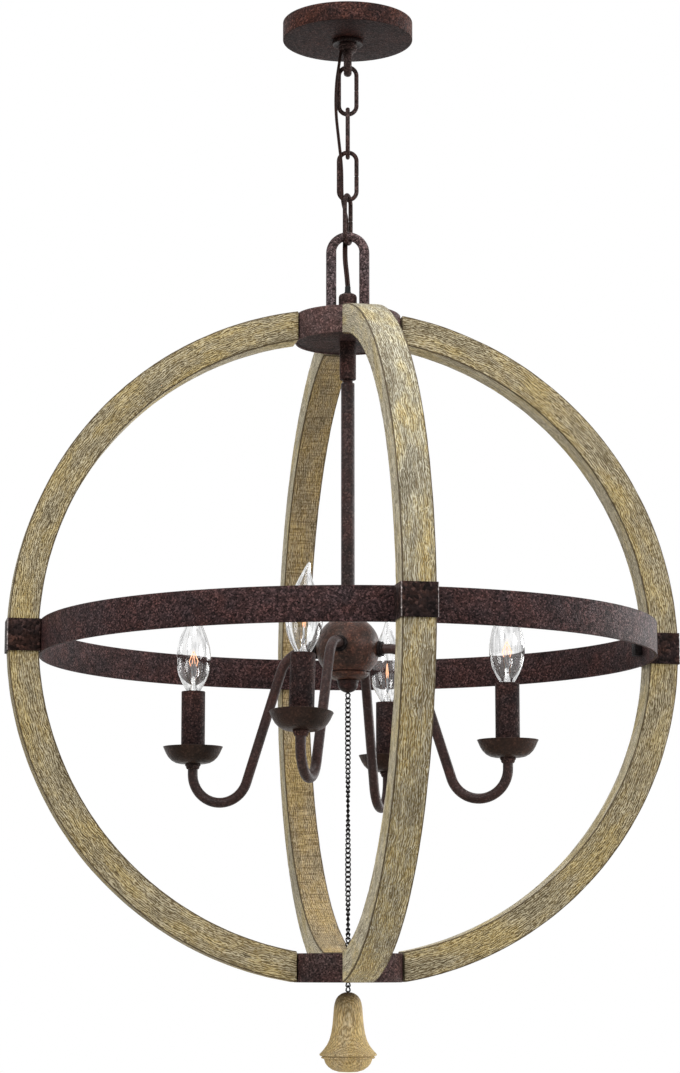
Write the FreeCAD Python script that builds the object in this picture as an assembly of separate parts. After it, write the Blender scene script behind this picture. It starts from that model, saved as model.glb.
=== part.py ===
import FreeCAD, Part
import math
import os

# Hanging orb light with four candle lamps, in millimetres.
# The origin is the middle of the canopy's open rim, in the plane of the ceiling. +Z is up, +X is to the
# right and -Y is towards the viewer. Everything hangs below the origin.

# Fits shared by several pieces
moving_gap = 0.3
seat_gap = 0.1
overrun = 1.0
small_sides = 8
rod_sides = 10
round_sides = 16

# Ceiling canopy, its mounting strap and the screw collar
canopy_height = 17.0
canopy_wall = 1.2
canopy_clearance = 6.8
canopy_edge = 1.4
canopy_sides = 32
strap_width = 19.0
strap_thickness = 2.5
strap_slot_spacing = 88.9
strap_slot_length = 9.0
strap_slot_width = 5.0
strap_end = 3.05
rod_diameter = 9.5
strap_nut_width = 16.0
strap_nut_height = 4.0
collar_diameter = 28.4
collar_height = 3.6
collar_knurl_depth = 0.5
collar_sides = 30
loop_thread_diameter = 14.0
loop_neck_diameter = 18.2
loop_neck_height = 6.0
loop_width = 26.0
loop_bar_thickness = 6.2
loop_bar_width = 7.4
loop_sides = 8
loop_steps = 16
loop_bottom_z = -51.1

# Chain of four split links
link_length = 49.1
link_width = 20.2
link_wire = 4.0
link_slit = 0.6
link_sides = 8
link_bend_steps = 6
link_turns = (0.0, 90.0, 0.0, 71.0)

# Loop on the top hub, with its cross strap, nut and cord bushing
hub_loop_width = 39.7
hub_loop_height = 79.42
hub_loop_bar = 8.0
hub_loop_bend_steps = 8
hub_strap_thickness = 6.0
hub_strap_width = 13.0
hub_nut_diameter = 16.6
hub_nut_height = 15.0
hub_nut_shoulder = 2.4
bushing_foot_diameter = 6.4
bushing_top_diameter = 4.8
bushing_height = 7.6

# Wooden ribs and the two hubs that their ends butt on
orb_radius = 303.6
rib_depth = 26.5
rib_width = 28.2
rib_turn = 10.6
rib_flats = 48
hub_diameter = 96.0
hub_height = 25.2
hub_wall = 1.6
hub_edge = 1.2
hub_sides = 28
hub_plate_inset = 1.0
chain_hole_diameter = 9.0
rib_screw_diameter = 5.0
rib_screw_length = 32.0
rib_screw_head_width = 9.0
rib_screw_head_height = 3.4

# Flat band inside the ribs and the box clamps that hold it
band_height = 29.4
band_thickness = 3.0
band_sides = 72
clamp_height = 28.4
clamp_wall = 1.4
bolt_width = 5.0
bolt_nut_width = 8.6
bolt_nut_height = 4.0

# Stem from the top hub to the ball
coupling_diameter = 15.0
coupling_length = 34.6
coupling_edge = 0.8
stem_neck_length = 3.4
stem_diameter = 12.3
stem_nipple_depth = 10.0

# Ball, its lower cap and the finial
ball_diameter = 57.0
ball_below_middle = 6.0
ball_sides = 24
ball_rows = 7
ball_top_latitude = 76.0
ball_seam_latitude = -40.5
ball_foot_latitude = -76.0
ball_cap_rows = 3
ball_seam_step = 0.6
finial_diameter = 18.2
finial_height = 11.5
finial_radius_shares = (1.0, 1.0, 0.9, 0.58, 0.3, 0.1)
finial_height_shares = (0.0, 0.24, 0.4, 0.64, 0.82, 1.0)

# Curved arms
candle_radius = 145.0
candle_turn = 15.0
arm_diameter = 9.0
arm_sides = 8
arm_foot_radius = 26.0
arm_drop = 134.6
arm_shoulder_radius = 26.0
arm_stub_length = 9.0
arm_bend_step = 27.0
arm_lifts = (5.5, 0.0, 0.0, 0.0)
arm_collar_diameter = 14.6
arm_collar_length = 4.4
arm_collar_edge = 1.0

# Candle cups, sleeves and lamp sockets
cup_diameter = 54.2
cup_height = 15.4
cup_wall = 1.2
cup_drop = 99.0
cup_radius_shares = (1.0, 0.93, 0.74, 0.445)
cup_height_shares = (1.0, 0.66, 0.24, 0.0)
cup_nut_diameter = 14.0
cup_nut_height = 5.0
sleeve_diameter = 21.5
sleeve_wall = 1.2
sleeve_height = 64.2
sleeve_edge = 0.8
socket_diameter = 16.0
socket_height = 58.0
socket_wall = 1.6
socket_floor = 22.0

# Lamps
lamp_diameter = 31.6
lamp_height = 80.0
lamp_sides = 12
lamp_radius_shares = (0.36, 0.74, 0.97, 0.99, 0.76, 0.46, 0.24, 0.05)
lamp_height_shares = (0.0, 0.13, 0.27, 0.4, 0.59, 0.74, 0.85, 1.0)
lamp_tip_shift_shares = (0.0, 0.0, 0.0, 0.0, 0.0, 0.0, 0.06, 0.22)
lamp_base_diameter = 11.8
lamp_base_height = 26.0
lamp_base_foot_diameter = 7.0
lamp_base_foot_height = 4.0

# Fine chain and bell
fine_link_length = 6.5
fine_link_width = 4.9
fine_link_wire = 0.95
fine_link_sides = 3
fine_chain_gap = 0.05
bell_clearance = 7.5
fine_chain_twist = 1.6
fine_links_on_bell = 2
bell_diameter = 50.2
bell_height = 69.2
bell_sides = 18
bell_radius_shares = (0.2, 0.36, 0.44, 0.49, 0.54, 0.64, 0.77, 0.93, 1.0, 1.0, 0.83, 0.72, 0.42)
bell_height_shares = (0.0, 0.03, 0.08, 0.18, 0.41, 0.57, 0.68, 0.75, 0.77, 0.82, 0.84, 0.92, 1.0)

# Supply cord, from the canopy loop to the bushing, laced past the links
cord_diameter = 2.8
cord_sides = 6
cord_right_shares = (-1.55, -1.88, -2.65, -2.8, -2.1, -1.35, -1.32, -1.25, -0.85, -0.55, -0.65, -0.22, 0.0)
cord_back_shares = (-0.8, -0.98, -1.0, -1.0, -1.0, -1.0, -0.98, -0.86, 0.8, 1.58, 0.9, 0.25, 0.0)
cord_drop_shares = (0.0, 0.05, 0.14, 0.26, 0.38, 0.5, 0.6, 0.67, 0.74, 0.8, 0.88, 0.95, 1.0)
cord_bend_share = 0.45

# Places worked out from the sizes above
strap_length = strap_slot_spacing + strap_slot_length + 2 * strap_end
canopy_radius = strap_length / 2 + canopy_clearance + canopy_wall
collar_z = -canopy_height - moving_gap
loop_neck_z = collar_z - collar_height - moving_gap
loop_centre_z = loop_bottom_z + loop_width / 2
link_pitch = link_length - 2 * link_wire - moving_gap
first_link_z = loop_bottom_z + loop_bar_thickness + link_wire + moving_gap - link_length / 2
last_link_z = first_link_z - 3 * link_pitch
hub_loop_top_z = last_link_z - link_length / 2 + link_wire + hub_loop_bar + moving_gap
hub_radius = hub_diameter / 2
top_hub_top_z = hub_loop_top_z - hub_loop_height
top_hub_foot_z = top_hub_top_z - hub_height
orb_z = top_hub_top_z - math.sqrt(orb_radius ** 2 - hub_radius ** 2)
bottom_hub_foot_z = 2 * orb_z - top_hub_top_z
bottom_hub_top_z = bottom_hub_foot_z + hub_height
hub_strap_top_z = top_hub_top_z + hub_strap_thickness
hub_nut_top_z = hub_strap_top_z + hub_nut_height
coupling_top_z = top_hub_foot_z + hub_plate_inset
coupling_foot_z = coupling_top_z - coupling_length
stem_top_z = coupling_foot_z - stem_neck_length
rib_inner_radius = orb_radius - rib_depth
clamp_seat = math.sqrt(rib_inner_radius ** 2 - (clamp_height / 2) ** 2)
band_radius = clamp_seat - clamp_wall - seat_gap
ball_z = orb_z - ball_below_middle
ball_radius = ball_diameter / 2
stem_foot_z = ball_z + ball_radius * math.sin(math.radians(ball_top_latitude))
finial_z = ball_z + (ball_radius - ball_seam_step) * math.sin(math.radians(ball_foot_latitude))
arm_foot_z = ball_z - arm_drop
cup_foot_z = ball_z - cup_drop
cup_floor_z = cup_foot_z + cup_wall
sleeve_top_z = cup_floor_z + sleeve_height
fine_bar = fine_link_wire * (1 + math.sqrt(2)) / 2
fine_tip = fine_link_wire * (1 - math.sqrt(1 / 2)) / 2
fine_pitch = fine_link_length - 2 * fine_bar - fine_chain_gap
fine_chain_top_z = finial_z - finial_height + fine_tip
fine_link_count = int((fine_chain_top_z - bottom_hub_foot_z + bell_clearance) / fine_pitch)
held_link_count = fine_link_count - fine_links_on_bell
held_chain_foot_z = fine_chain_top_z - (held_link_count - 1) * fine_pitch - fine_link_length
bell_chain_top_z = held_chain_foot_z + 2 * fine_bar + moving_gap
bell_top_z = bell_chain_top_z - (fine_links_on_bell - 1) * fine_pitch - fine_link_length + fine_tip
bell_pivot_z = held_chain_foot_z + fine_link_wire / 2
bushing_top_z = hub_nut_top_z + bushing_height
loop_neck_foot_z = loop_neck_z - loop_neck_height

places = ("front", "right", "back", "left")
rib_angles = [-90 + rib_turn + 90 * index for index in range(4)]
arm_angles = [-90 - candle_turn + 90 * index for index in range(4)]
upright = FreeCAD.Vector(0, 0, 1)
sideways = FreeCAD.Vector(0, 1, 0)
axis_start = FreeCAD.Vector(0, 0, 0)


def at(x, y, z):
    return FreeCAD.Vector(x, y, z)


def unit(vector):
    return vector * (1.0 / vector.Length)


def flat_face(corners):
    return Part.Face(Part.makePolygon(list(corners) + [corners[0]]))


def skinned(rings, closed=False):
    """A solid whose faces join each ring of corners to the next."""
    following = rings[1:] + rings[:1] if closed else rings[1:]
    faces = [] if closed else [flat_face(rings[0]), flat_face(rings[-1])]
    for first, second in zip(rings, following):
        for index in range(len(first)):
            after = (index + 1) % len(first)
            faces.append(flat_face([first[index], first[after], second[after], second[index]]))
    shell = Part.makeShell(faces)
    shell.sewShape()
    solid = Part.makeSolid(shell)
    if solid.Volume < 0:
        solid.reverse()
    return solid


def corner_ring(radius, z, sides, shift=0.0, turn=0.0):
    """Corners of a level polygon, with a flat side facing each direction that turn names."""
    angles = [math.radians(turn) + 2 * math.pi * (index + 0.5) / sides for index in range(sides)]
    return [at(shift + radius * math.cos(angle), radius * math.sin(angle), z) for angle in angles]


def turned(profile, sides, closed=False, turn=0.0):
    """A turned piece: the (radius, height) profile carried round the Z axis."""
    return skinned([corner_ring(radius, z, sides, turn=turn) for radius, z in profile], closed)


def tube(outer, inner, foot, top, sides=round_sides):
    """A straight tube that stands on the Z axis."""
    return turned([(outer, foot), (outer, top), (inner, top), (inner, foot)], sides, closed=True)


def swept(path, normal, thickness, width, sides, closed=False):
    """A bar carried along a flat path, with mitred bends."""
    rings = []
    for index, here in enumerate(path):
        onward = path[(index + 1) % len(path)] - here
        arriving = here - path[index - 1]
        if not closed and index == 0:
            arriving = onward
        if not closed and index == len(path) - 1:
            onward = arriving
        along = unit(unit(arriving) + unit(onward))
        across = normal.cross(along)
        stretch = 1.0 / along.dot(unit(arriving))
        ring = []
        for side in range(sides):
            angle = 2 * math.pi * (side + 0.5) / sides
            ring.append(here + across * (thickness / 2 * stretch * math.cos(angle))
                        + normal * (width / 2 * math.sin(angle)))
        rings.append(ring)
    return skinned(rings, closed)


def bend(centre_x, centre_z, radius, start, end, steps):
    """Corners of the flats that touch an arc in the XZ plane, angles in degrees from +X."""
    step = math.radians(end - start) / steps
    corner = radius / math.cos(step / 2)
    angles = [math.radians(start) + step * (index + 0.5) for index in range(steps)]
    return [at(centre_x + corner * math.cos(angle), 0, centre_z + corner * math.sin(angle)) for angle in angles]


def box(length, width, height, centre):
    """A box with its middle at the given point."""
    corner = at(centre.x - length / 2, centre.y - width / 2, centre.z - height / 2)
    return Part.makeBox(length, width, height, corner)


def spun(shape, angle):
    """A copy turned about the Z axis."""
    copy = shape.copy()
    copy.rotate(axis_start, upright, angle)
    return copy


def moved(shape, x, y, z):
    copy = shape.copy()
    copy.translate(at(x, y, z))
    return copy


def rod(foot, top):
    """A length of the threaded rod that joins the metal pieces."""
    return turned([(rod_diameter / 2, foot), (rod_diameter / 2, top)], rod_sides)


def rod_hole(foot, top):
    radius = rod_diameter / 2 + seat_gap
    return turned([(radius, foot), (radius, top)], rod_sides)


# Ceiling side
def make_canopy():
    outer = canopy_radius
    inner = canopy_radius - canopy_wall
    floor = -canopy_height
    profile = [
        (inner, 0), (outer, 0), (outer, floor + canopy_edge), (outer - canopy_edge, floor),
        (loop_thread_diameter / 2 + seat_gap, floor), (loop_thread_diameter / 2 + seat_gap, floor + canopy_wall),
        (inner, floor + canopy_wall),
    ]
    return turned(profile, canopy_sides, closed=True)


def make_mounting_strap():
    strap = box(strap_length, strap_width, strap_thickness, at(0, 0, -strap_thickness / 2))
    slot_depth = strap_thickness + 2 * overrun
    for side in (-1, 1):
        middle = at(side * strap_slot_spacing / 2, 0, -strap_thickness / 2)
        strap = strap.cut(box(strap_slot_length - strap_slot_width, strap_slot_width, slot_depth, middle))
        for end in (-1, 1):
            end_x = middle.x + end * (strap_slot_length - strap_slot_width) / 2
            foot = at(end_x, 0, -strap_thickness - overrun)
            strap = strap.cut(Part.makeCylinder(strap_slot_width / 2, slot_depth, foot))
    return strap.cut(rod_hole(-strap_thickness - overrun, overrun))


def make_strap_nut():
    foot = -strap_thickness - strap_nut_height
    width = strap_nut_width / 2 / math.cos(math.pi / 6)
    nut = turned([(width, foot), (width, -strap_thickness)], 6)
    return nut.cut(rod_hole(foot - overrun, -strap_thickness + overrun))


def make_collar():
    """The ring is knurled, so every other corner of its outline is cut back."""
    foot = collar_z - collar_height
    rings = []
    for z in (foot, collar_z):
        outer = corner_ring(collar_diameter / 2, z, collar_sides)
        inner = corner_ring(collar_diameter / 2 - collar_knurl_depth, z, collar_sides)
        rings.append([inner[index] if index % 2 else outer[index] for index in range(collar_sides)])
    ring = skinned(rings)
    bore = loop_thread_diameter / 2 + moving_gap
    return ring.cut(turned([(bore, foot - overrun), (bore, collar_z + overrun)], round_sides))


def make_canopy_loop():
    ring_radius = (loop_width - loop_bar_thickness) / 2
    path = bend(0, loop_centre_z, ring_radius, 0, 360, loop_steps)
    ring = spun(swept(path, sideways, loop_bar_thickness, loop_bar_width, loop_sides, closed=True), 90)
    neck = turned([
        (loop_thread_diameter / 2, -canopy_height + canopy_wall), (loop_thread_diameter / 2, loop_neck_z),
        (loop_neck_diameter / 2, loop_neck_z), (loop_neck_diameter / 2, loop_neck_foot_z),
    ], round_sides)
    return ring.fuse(neck).cut(rod_hole(loop_neck_z, 0))


# Chain
def link_path():
    """The wire's centre line, from one side of the slit round to the other."""
    radius = (link_width - link_wire) / 2
    reach = link_length / 2 - link_wire / 2 - radius
    path = bend(0, reach, radius, 0, 180, link_bend_steps) + bend(0, -reach, radius, 180, 360, link_bend_steps)
    return [at(radius, 0, link_slit / 2)] + path + [at(radius, 0, -link_slit / 2)]


def make_link(index):
    link = swept(link_path(), sideways, link_wire, link_wire, link_sides)
    return moved(spun(link, link_turns[index]), 0, 0, first_link_z - index * link_pitch)


# Loop, nut and bushing on the top hub
def make_hub_loop():
    bend_radius = (hub_loop_width - hub_loop_bar) / 2
    bend_z = hub_loop_top_z - hub_loop_width / 2
    arch = bend(0, bend_z, bend_radius, 0, 180, hub_loop_bend_steps)
    path = [at(bend_radius, 0, top_hub_top_z)] + arch + [at(-bend_radius, 0, top_hub_top_z)]
    bar = swept(path, sideways, hub_loop_bar, hub_loop_bar, loop_sides)
    strap_middle = at(0, 0, top_hub_top_z + hub_strap_thickness / 2)
    strap = box(2 * bend_radius, hub_strap_width, hub_strap_thickness, strap_middle)
    return bar.fuse(strap).cut(rod_hole(top_hub_top_z - overrun, hub_strap_top_z + overrun))


def make_hub_nut():
    radius = hub_nut_diameter / 2
    nut = turned([
        (radius, hub_strap_top_z), (radius, hub_nut_top_z - hub_nut_shoulder),
        (radius - hub_nut_shoulder / 3, hub_nut_top_z - hub_nut_shoulder / 3),
        (radius - hub_nut_shoulder, hub_nut_top_z),
    ], round_sides)
    return nut.cut(rod_hole(hub_strap_top_z - overrun, hub_nut_top_z - hub_nut_shoulder))


def make_bushing():
    return turned([(bushing_foot_diameter / 2, hub_nut_top_z), (bushing_top_diameter / 2, bushing_top_z)], rod_sides)


def make_hub_rod():
    return rod(top_hub_foot_z - stem_nipple_depth, hub_nut_top_z - hub_nut_shoulder - seat_gap)


# Hubs
def hub_drum(foot, top):
    """The hub's outline as a solid drum, with a flat side towards each rib."""
    return turned([(hub_radius, foot), (hub_radius, top)], hub_sides, turn=rib_turn)


def make_hub_cup(closed_z, open_z, hole):
    """A drawn cup with its closed end at closed_z and its mouth at open_z."""
    inward = 1 if open_z > closed_z else -1
    inner = hub_radius - hub_wall
    profile = [
        (hole, closed_z), (hub_radius - hub_edge, closed_z), (hub_radius, closed_z + inward * hub_edge),
        (hub_radius, open_z), (inner, open_z), (inner, closed_z + inward * hub_wall),
        (hole, closed_z + inward * hub_wall),
    ]
    return turned(profile, hub_sides, closed=True, turn=rib_turn)


def make_hub_plate(outer_z, inward, hole):
    """The flat plate that closes a hub cup, set just inside its mouth."""
    radius = hub_radius - hub_wall - seat_gap
    near = outer_z + inward * hub_plate_inset
    far = near + inward * hub_wall
    profile = [(hole, near), (radius, near), (radius, far), (hole, far)]
    return turned(profile, hub_sides, closed=True, turn=rib_turn)


def rib_screw_places():
    """Height of the screws in each hub."""
    return (top_hub_top_z - hub_height / 2, bottom_hub_foot_z + hub_height / 2)


def radial_rod(diameter, start, end, z, sides):
    """A many-sided rod lying along +X, between two distances from the axis."""
    path = [at(start, 0, z), at(end, 0, z)]
    return swept(path, sideways, diameter, diameter, sides)


def make_rib_screw(z):
    inner = (hub_radius - hub_wall) * math.cos(math.pi / hub_sides)
    head = radial_rod(rib_screw_head_width, inner - rib_screw_head_height, inner, z, 6)
    shank = radial_rod(rib_screw_diameter, inner - rib_screw_head_height / 2, inner + rib_screw_length, z, 6)
    return head.fuse(shank)


def screw_holes():
    """One clearance hole at each hub, for the rib that points along +X."""
    wide = rib_screw_diameter + 2 * seat_gap
    end = hub_radius + rib_screw_length + overrun
    return [radial_rod(wide, hub_radius / 2, end, z, 6) for z in rib_screw_places()]


def with_screw_holes(cup):
    for angle in rib_angles:
        for hole in screw_holes():
            cup = cup.cut(spun(hole, angle))
    return cup


# Wooden orb
def make_rib():
    """Half a hoop in the XZ plane, with its ends shaped to the two hubs."""
    corners = []
    for radius, start in ((orb_radius, 90), (rib_inner_radius, -90)):
        corners.append(at(0, 0, orb_z + radius * start / 90))
        corners += bend(0, orb_z, radius, start, -start, rib_flats)
        corners.append(at(0, 0, orb_z - radius * start / 90))
    hoop = flat_face(corners).extrude(at(0, rib_width, 0))
    hoop.translate(at(0, -rib_width / 2, 0))
    rib = spun(hoop, rib_turn)
    for z in rib_screw_places():
        rib = rib.cut(hub_drum(z - 2 * hub_height, z + 2 * hub_height))
    for hole in screw_holes():
        rib = rib.cut(spun(hole, rib_turn))
    return spun(rib, -rib_turn)


def bolt_hole():
    """A square hole through a clamp's inner wall and the band, along +X."""
    length = clamp_wall + seat_gap + band_thickness + 2 * overrun
    wide = bolt_width + 2 * seat_gap
    return box(length, wide, wide, at(clamp_seat - length / 2 + overrun, 0, orb_z))


def make_clamp():
    """A strap bent round the rib to a closed box."""
    reach = orb_radius - clamp_seat
    middle = at(clamp_seat + reach / 2, 0, orb_z)
    outer = box(reach + 2 * clamp_wall, rib_width + 2 * clamp_wall, clamp_height, middle)
    inner = box(reach, rib_width, clamp_height + 2 * overrun, middle)
    return outer.cut(inner).cut(bolt_hole())


def make_band():
    """A strip rolled to a ring of many flats, one of them behind each clamp."""
    corner_stretch = 1.0 / math.cos(math.pi / band_sides)
    outer = band_radius * corner_stretch
    inner = (band_radius - band_thickness) * corner_stretch
    foot = orb_z - band_height / 2
    top = orb_z + band_height / 2
    profile = [(outer, foot), (outer, top), (inner, top), (inner, foot)]
    band = turned(profile, band_sides, closed=True, turn=rib_turn)
    for angle in rib_angles:
        band = band.cut(spun(bolt_hole(), angle))
    return band


def make_bolt():
    """A square bolt through the clamp and the band, with its nut inside the band."""
    nut_seat = band_radius - band_thickness
    shank_length = clamp_seat - nut_seat
    shank = box(shank_length, bolt_width, bolt_width, at(clamp_seat - shank_length / 2, 0, orb_z))
    nut_middle = at(nut_seat - bolt_nut_height / 2, 0, orb_z)
    return shank.fuse(box(bolt_nut_height, bolt_nut_width, bolt_nut_width, nut_middle))


# Stem
def make_coupling():
    outer = coupling_diameter / 2
    bore = rod_diameter / 2 + seat_gap
    profile = [
        (outer, coupling_top_z), (outer, coupling_foot_z + coupling_edge),
        (outer - coupling_edge, coupling_foot_z), (bore, coupling_foot_z), (bore, coupling_top_z),
    ]
    return turned(profile, round_sides, closed=True)


def make_stem_nipple():
    return rod(stem_top_z - stem_nipple_depth, coupling_foot_z + stem_nipple_depth)


def make_stem():
    return tube(stem_diameter / 2, rod_diameter / 2 + seat_gap, stem_foot_z, stem_top_z)


# Ball and finial
def ball_profile(radius, start, end, rows):
    """Points of a ball's outline between two latitudes."""
    points = []
    for row in range(rows + 1):
        latitude = math.radians(start + (end - start) * row / rows)
        points.append((radius * math.cos(latitude), ball_z + radius * math.sin(latitude)))
    return points


def make_ball():
    profile = ball_profile(ball_radius, ball_seam_latitude, ball_top_latitude, ball_rows)
    return turned(profile, ball_sides, turn=-candle_turn)


def make_ball_cap():
    radius = ball_radius - ball_seam_step
    top_latitude = math.degrees(math.asin(ball_radius / radius * math.sin(math.radians(ball_seam_latitude))))
    profile = ball_profile(radius, ball_foot_latitude, top_latitude, ball_cap_rows)
    return turned(profile, ball_sides, turn=-candle_turn)


def make_finial():
    profile = []
    for radius_share, height_share in zip(finial_radius_shares, finial_height_shares):
        profile.append((finial_diameter / 2 * radius_share, finial_z - finial_height * height_share))
    return turned(profile, rod_sides)


# Arms and candles, each made along +X and then turned to its place
def arm_path():
    """From the candle down round the foot, up the leaning leg and over into the ball."""
    foot_x = candle_radius - arm_foot_radius
    foot_z = arm_foot_z + arm_foot_radius
    shoulder_x = ball_radius + arm_stub_length
    shoulder_z = ball_z - arm_shoulder_radius
    reach = math.hypot(foot_x - shoulder_x, shoulder_z - foot_z)
    slope = math.atan2(foot_x - shoulder_x, shoulder_z - foot_z)
    lean = math.degrees(slope - math.asin((arm_foot_radius + arm_shoulder_radius) / reach))
    foot_steps = math.ceil((180 - lean) / arm_bend_step)
    foot = bend(foot_x, foot_z, arm_foot_radius, 0, lean - 180, foot_steps)
    shoulder_steps = math.ceil((90 - lean) / arm_bend_step)
    shoulder = bend(shoulder_x, shoulder_z, arm_shoulder_radius, lean, 90, shoulder_steps)
    return [at(candle_radius, 0, cup_foot_z)] + foot + shoulder + [at(ball_radius, 0, ball_z)]


def make_arm():
    return swept(arm_path(), sideways, arm_diameter, arm_diameter, arm_sides)


def make_arm_collar():
    """A collar round the arm where it enters the ball."""
    outer = arm_collar_diameter / 2
    bore = arm_diameter / 2 + seat_gap
    profile = [
        (outer, 0), (outer, arm_collar_length - arm_collar_edge), (outer - arm_collar_edge, arm_collar_length),
        (bore, arm_collar_length), (bore, 0),
    ]
    collar = turned(profile, small_sides, closed=True)
    collar.rotate(axis_start, sideways, 90)
    return moved(collar, ball_radius, 0, ball_z)


def make_cup():
    """An open dish with a floor that the sleeve stands on."""
    outer = []
    for radius_share, height_share in zip(cup_radius_shares, cup_height_shares):
        outer.append((cup_diameter / 2 * radius_share, cup_foot_z + cup_height * height_share))
    inner = [(radius - cup_wall, max(z, cup_floor_z)) for radius, z in outer]
    return moved(turned(outer[::-1] + inner, round_sides), candle_radius, 0, 0)


def make_cup_nut():
    bore = arm_diameter / 2 + seat_gap
    foot = cup_foot_z - cup_nut_height
    profile = [
        (cup_nut_diameter / 2, cup_foot_z), (cup_nut_diameter / 2, cup_foot_z - cup_nut_height / 3),
        (arm_diameter / 2 + cup_wall, foot), (bore, foot), (bore, cup_foot_z),
    ]
    return moved(turned(profile, small_sides, closed=True), candle_radius, 0, 0)


def make_sleeve():
    outer = sleeve_diameter / 2
    inner = outer - sleeve_wall
    profile = [
        (outer, cup_floor_z), (outer, sleeve_top_z - sleeve_edge), (outer - sleeve_edge, sleeve_top_z),
        (inner, sleeve_top_z), (inner, cup_floor_z),
    ]
    return moved(turned(profile, round_sides, closed=True), candle_radius, 0, 0)


def make_socket():
    """A lamp socket: a post on the cup's floor with a deep open bore."""
    outer = socket_diameter / 2
    inner = outer - socket_wall
    top = cup_floor_z + socket_height
    floor = cup_floor_z + socket_floor
    rows = [(outer, cup_floor_z), (outer, top), (inner, top), (inner, floor)]
    return moved(turned(rows, small_sides), candle_radius, 0, 0)


def make_lamp_glass():
    """A flame-shaped lamp with its tip drawn out and bent over."""
    rings = []
    lamp_radius = lamp_diameter / 2
    for share, height_share, shift_share in zip(lamp_radius_shares, lamp_height_shares, lamp_tip_shift_shares):
        z = sleeve_top_z + lamp_height * height_share
        rings.append(corner_ring(lamp_radius * share, z, lamp_sides, shift=lamp_radius * shift_share))
    return moved(skinned(rings), candle_radius, 0, 0)


def make_lamp_base():
    foot = sleeve_top_z - lamp_base_height
    profile = [
        (lamp_base_foot_diameter / 2, foot), (lamp_base_diameter / 2, foot + lamp_base_foot_height),
        (lamp_base_diameter / 2, sleeve_top_z),
    ]
    return moved(turned(profile, rod_sides), candle_radius, 0, 0)


def lifted(shape, index):
    """A copy raised about the ball's middle by this arm's lift, then turned to its place."""
    copy = shape.copy()
    copy.rotate(at(0, 0, ball_z), sideways, -arm_lifts[index])
    return spun(copy, arm_angles[index])


# Fine chain and bell
def make_fine_link(z, turn):
    """A link with straight sides and pointed ends."""
    end = (fine_link_length - fine_link_wire) / 2
    side = (fine_link_width - fine_link_wire) / 2
    shoulder = end - side
    path = [
        at(side, 0, -shoulder), at(side, 0, shoulder), at(0, 0, end),
        at(-side, 0, shoulder), at(-side, 0, -shoulder), at(0, 0, -end),
    ]
    link = swept(path, sideways, fine_link_wire, fine_link_wire, fine_link_sides, closed=True)
    return moved(spun(link, turn), 0, 0, z)


def make_fine_chain():
    """Every link is turned a quarter from the last, with a slow twist; the lowest lies along X."""
    links = []
    for index in range(held_link_count):
        above_lowest = held_link_count - 1 - index
        z = fine_chain_top_z - fine_link_length / 2 - index * fine_pitch
        links.append(make_fine_link(z, above_lowest * (90 + fine_chain_twist)))
    return links


def make_bell_chain():
    links = []
    for index in range(fine_links_on_bell):
        z = bell_chain_top_z - fine_link_length / 2 - index * fine_pitch
        links.append(make_fine_link(z, 90 + 90 * index))
    return links


def make_bell():
    profile = []
    for radius_share, height_share in zip(bell_radius_shares, bell_height_shares):
        profile.append((bell_diameter / 2 * radius_share, bell_top_z - bell_height * height_share))
    return turned(profile, bell_sides)


# Supply cord
def cord_points():
    """Sideways places are shares of the links' wire, so that the cord keeps clear of it."""
    drop = loop_neck_foot_z - bushing_top_z
    points = []
    for right, back, down in zip(cord_right_shares, cord_back_shares, cord_drop_shares):
        points.append(at(right * link_wire, back * link_wire, loop_neck_foot_z - down * drop))
    return points


def make_cord():
    """Straight runs joined by tangent arcs, cut off level at the loop's neck and at the bushing."""
    points = cord_points()
    points[0] -= unit(points[1] - points[0]) * cord_diameter
    points[-1] += unit(points[-1] - points[-2]) * cord_diameter
    edges = []
    last_end = points[0]
    length = 0
    for before, corner, after in zip(points, points[1:], points[2:]):
        run_in = corner - before
        run_out = after - corner
        half_turn = run_in.getAngle(run_out) / 2
        trim = cord_bend_share * min(run_in.Length, run_out.Length)
        start = corner - unit(run_in) * trim
        end = corner + unit(run_out) * trim
        radius = trim / math.tan(half_turn)
        print("cord radius", round(radius, 1))
        inward = unit(unit(run_out) - unit(run_in))
        middle = corner + inward * (radius / math.cos(half_turn) - radius)
        edges.append(Part.makeLine(last_end, start))
        edges.append(Part.Arc(start, middle, end).toShape())
        length += edges[-2].Length + edges[-1].Length
        last_end = end
    edges.append(Part.makeLine(last_end, points[-1]))
    length += edges[-1].Length
    path = Part.Wire(edges)
    along = unit(points[1] - points[0])
    across = unit(sideways.cross(along))
    upward = along.cross(across)
    corners = []
    for side in range(cord_sides + 1):
        angle = 2 * math.pi * side / cord_sides
        corners.append(points[0] + (across * math.cos(angle) + upward * math.sin(angle)) * (cord_diameter / 2))
    outline = Part.makePolygon(corners)
    cord = path.makePipeShell([outline], True, False)
    section = Part.Face(outline).Area
    print("cord volume", round(cord.Volume, 1), "section times length", round(section * length, 1))
    level_cut = box(hub_diameter, hub_diameter, loop_neck_foot_z - bushing_top_z,
                    at(0, 0, (loop_neck_foot_z + bushing_top_z) / 2))
    return cord.common(level_cut)


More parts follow.
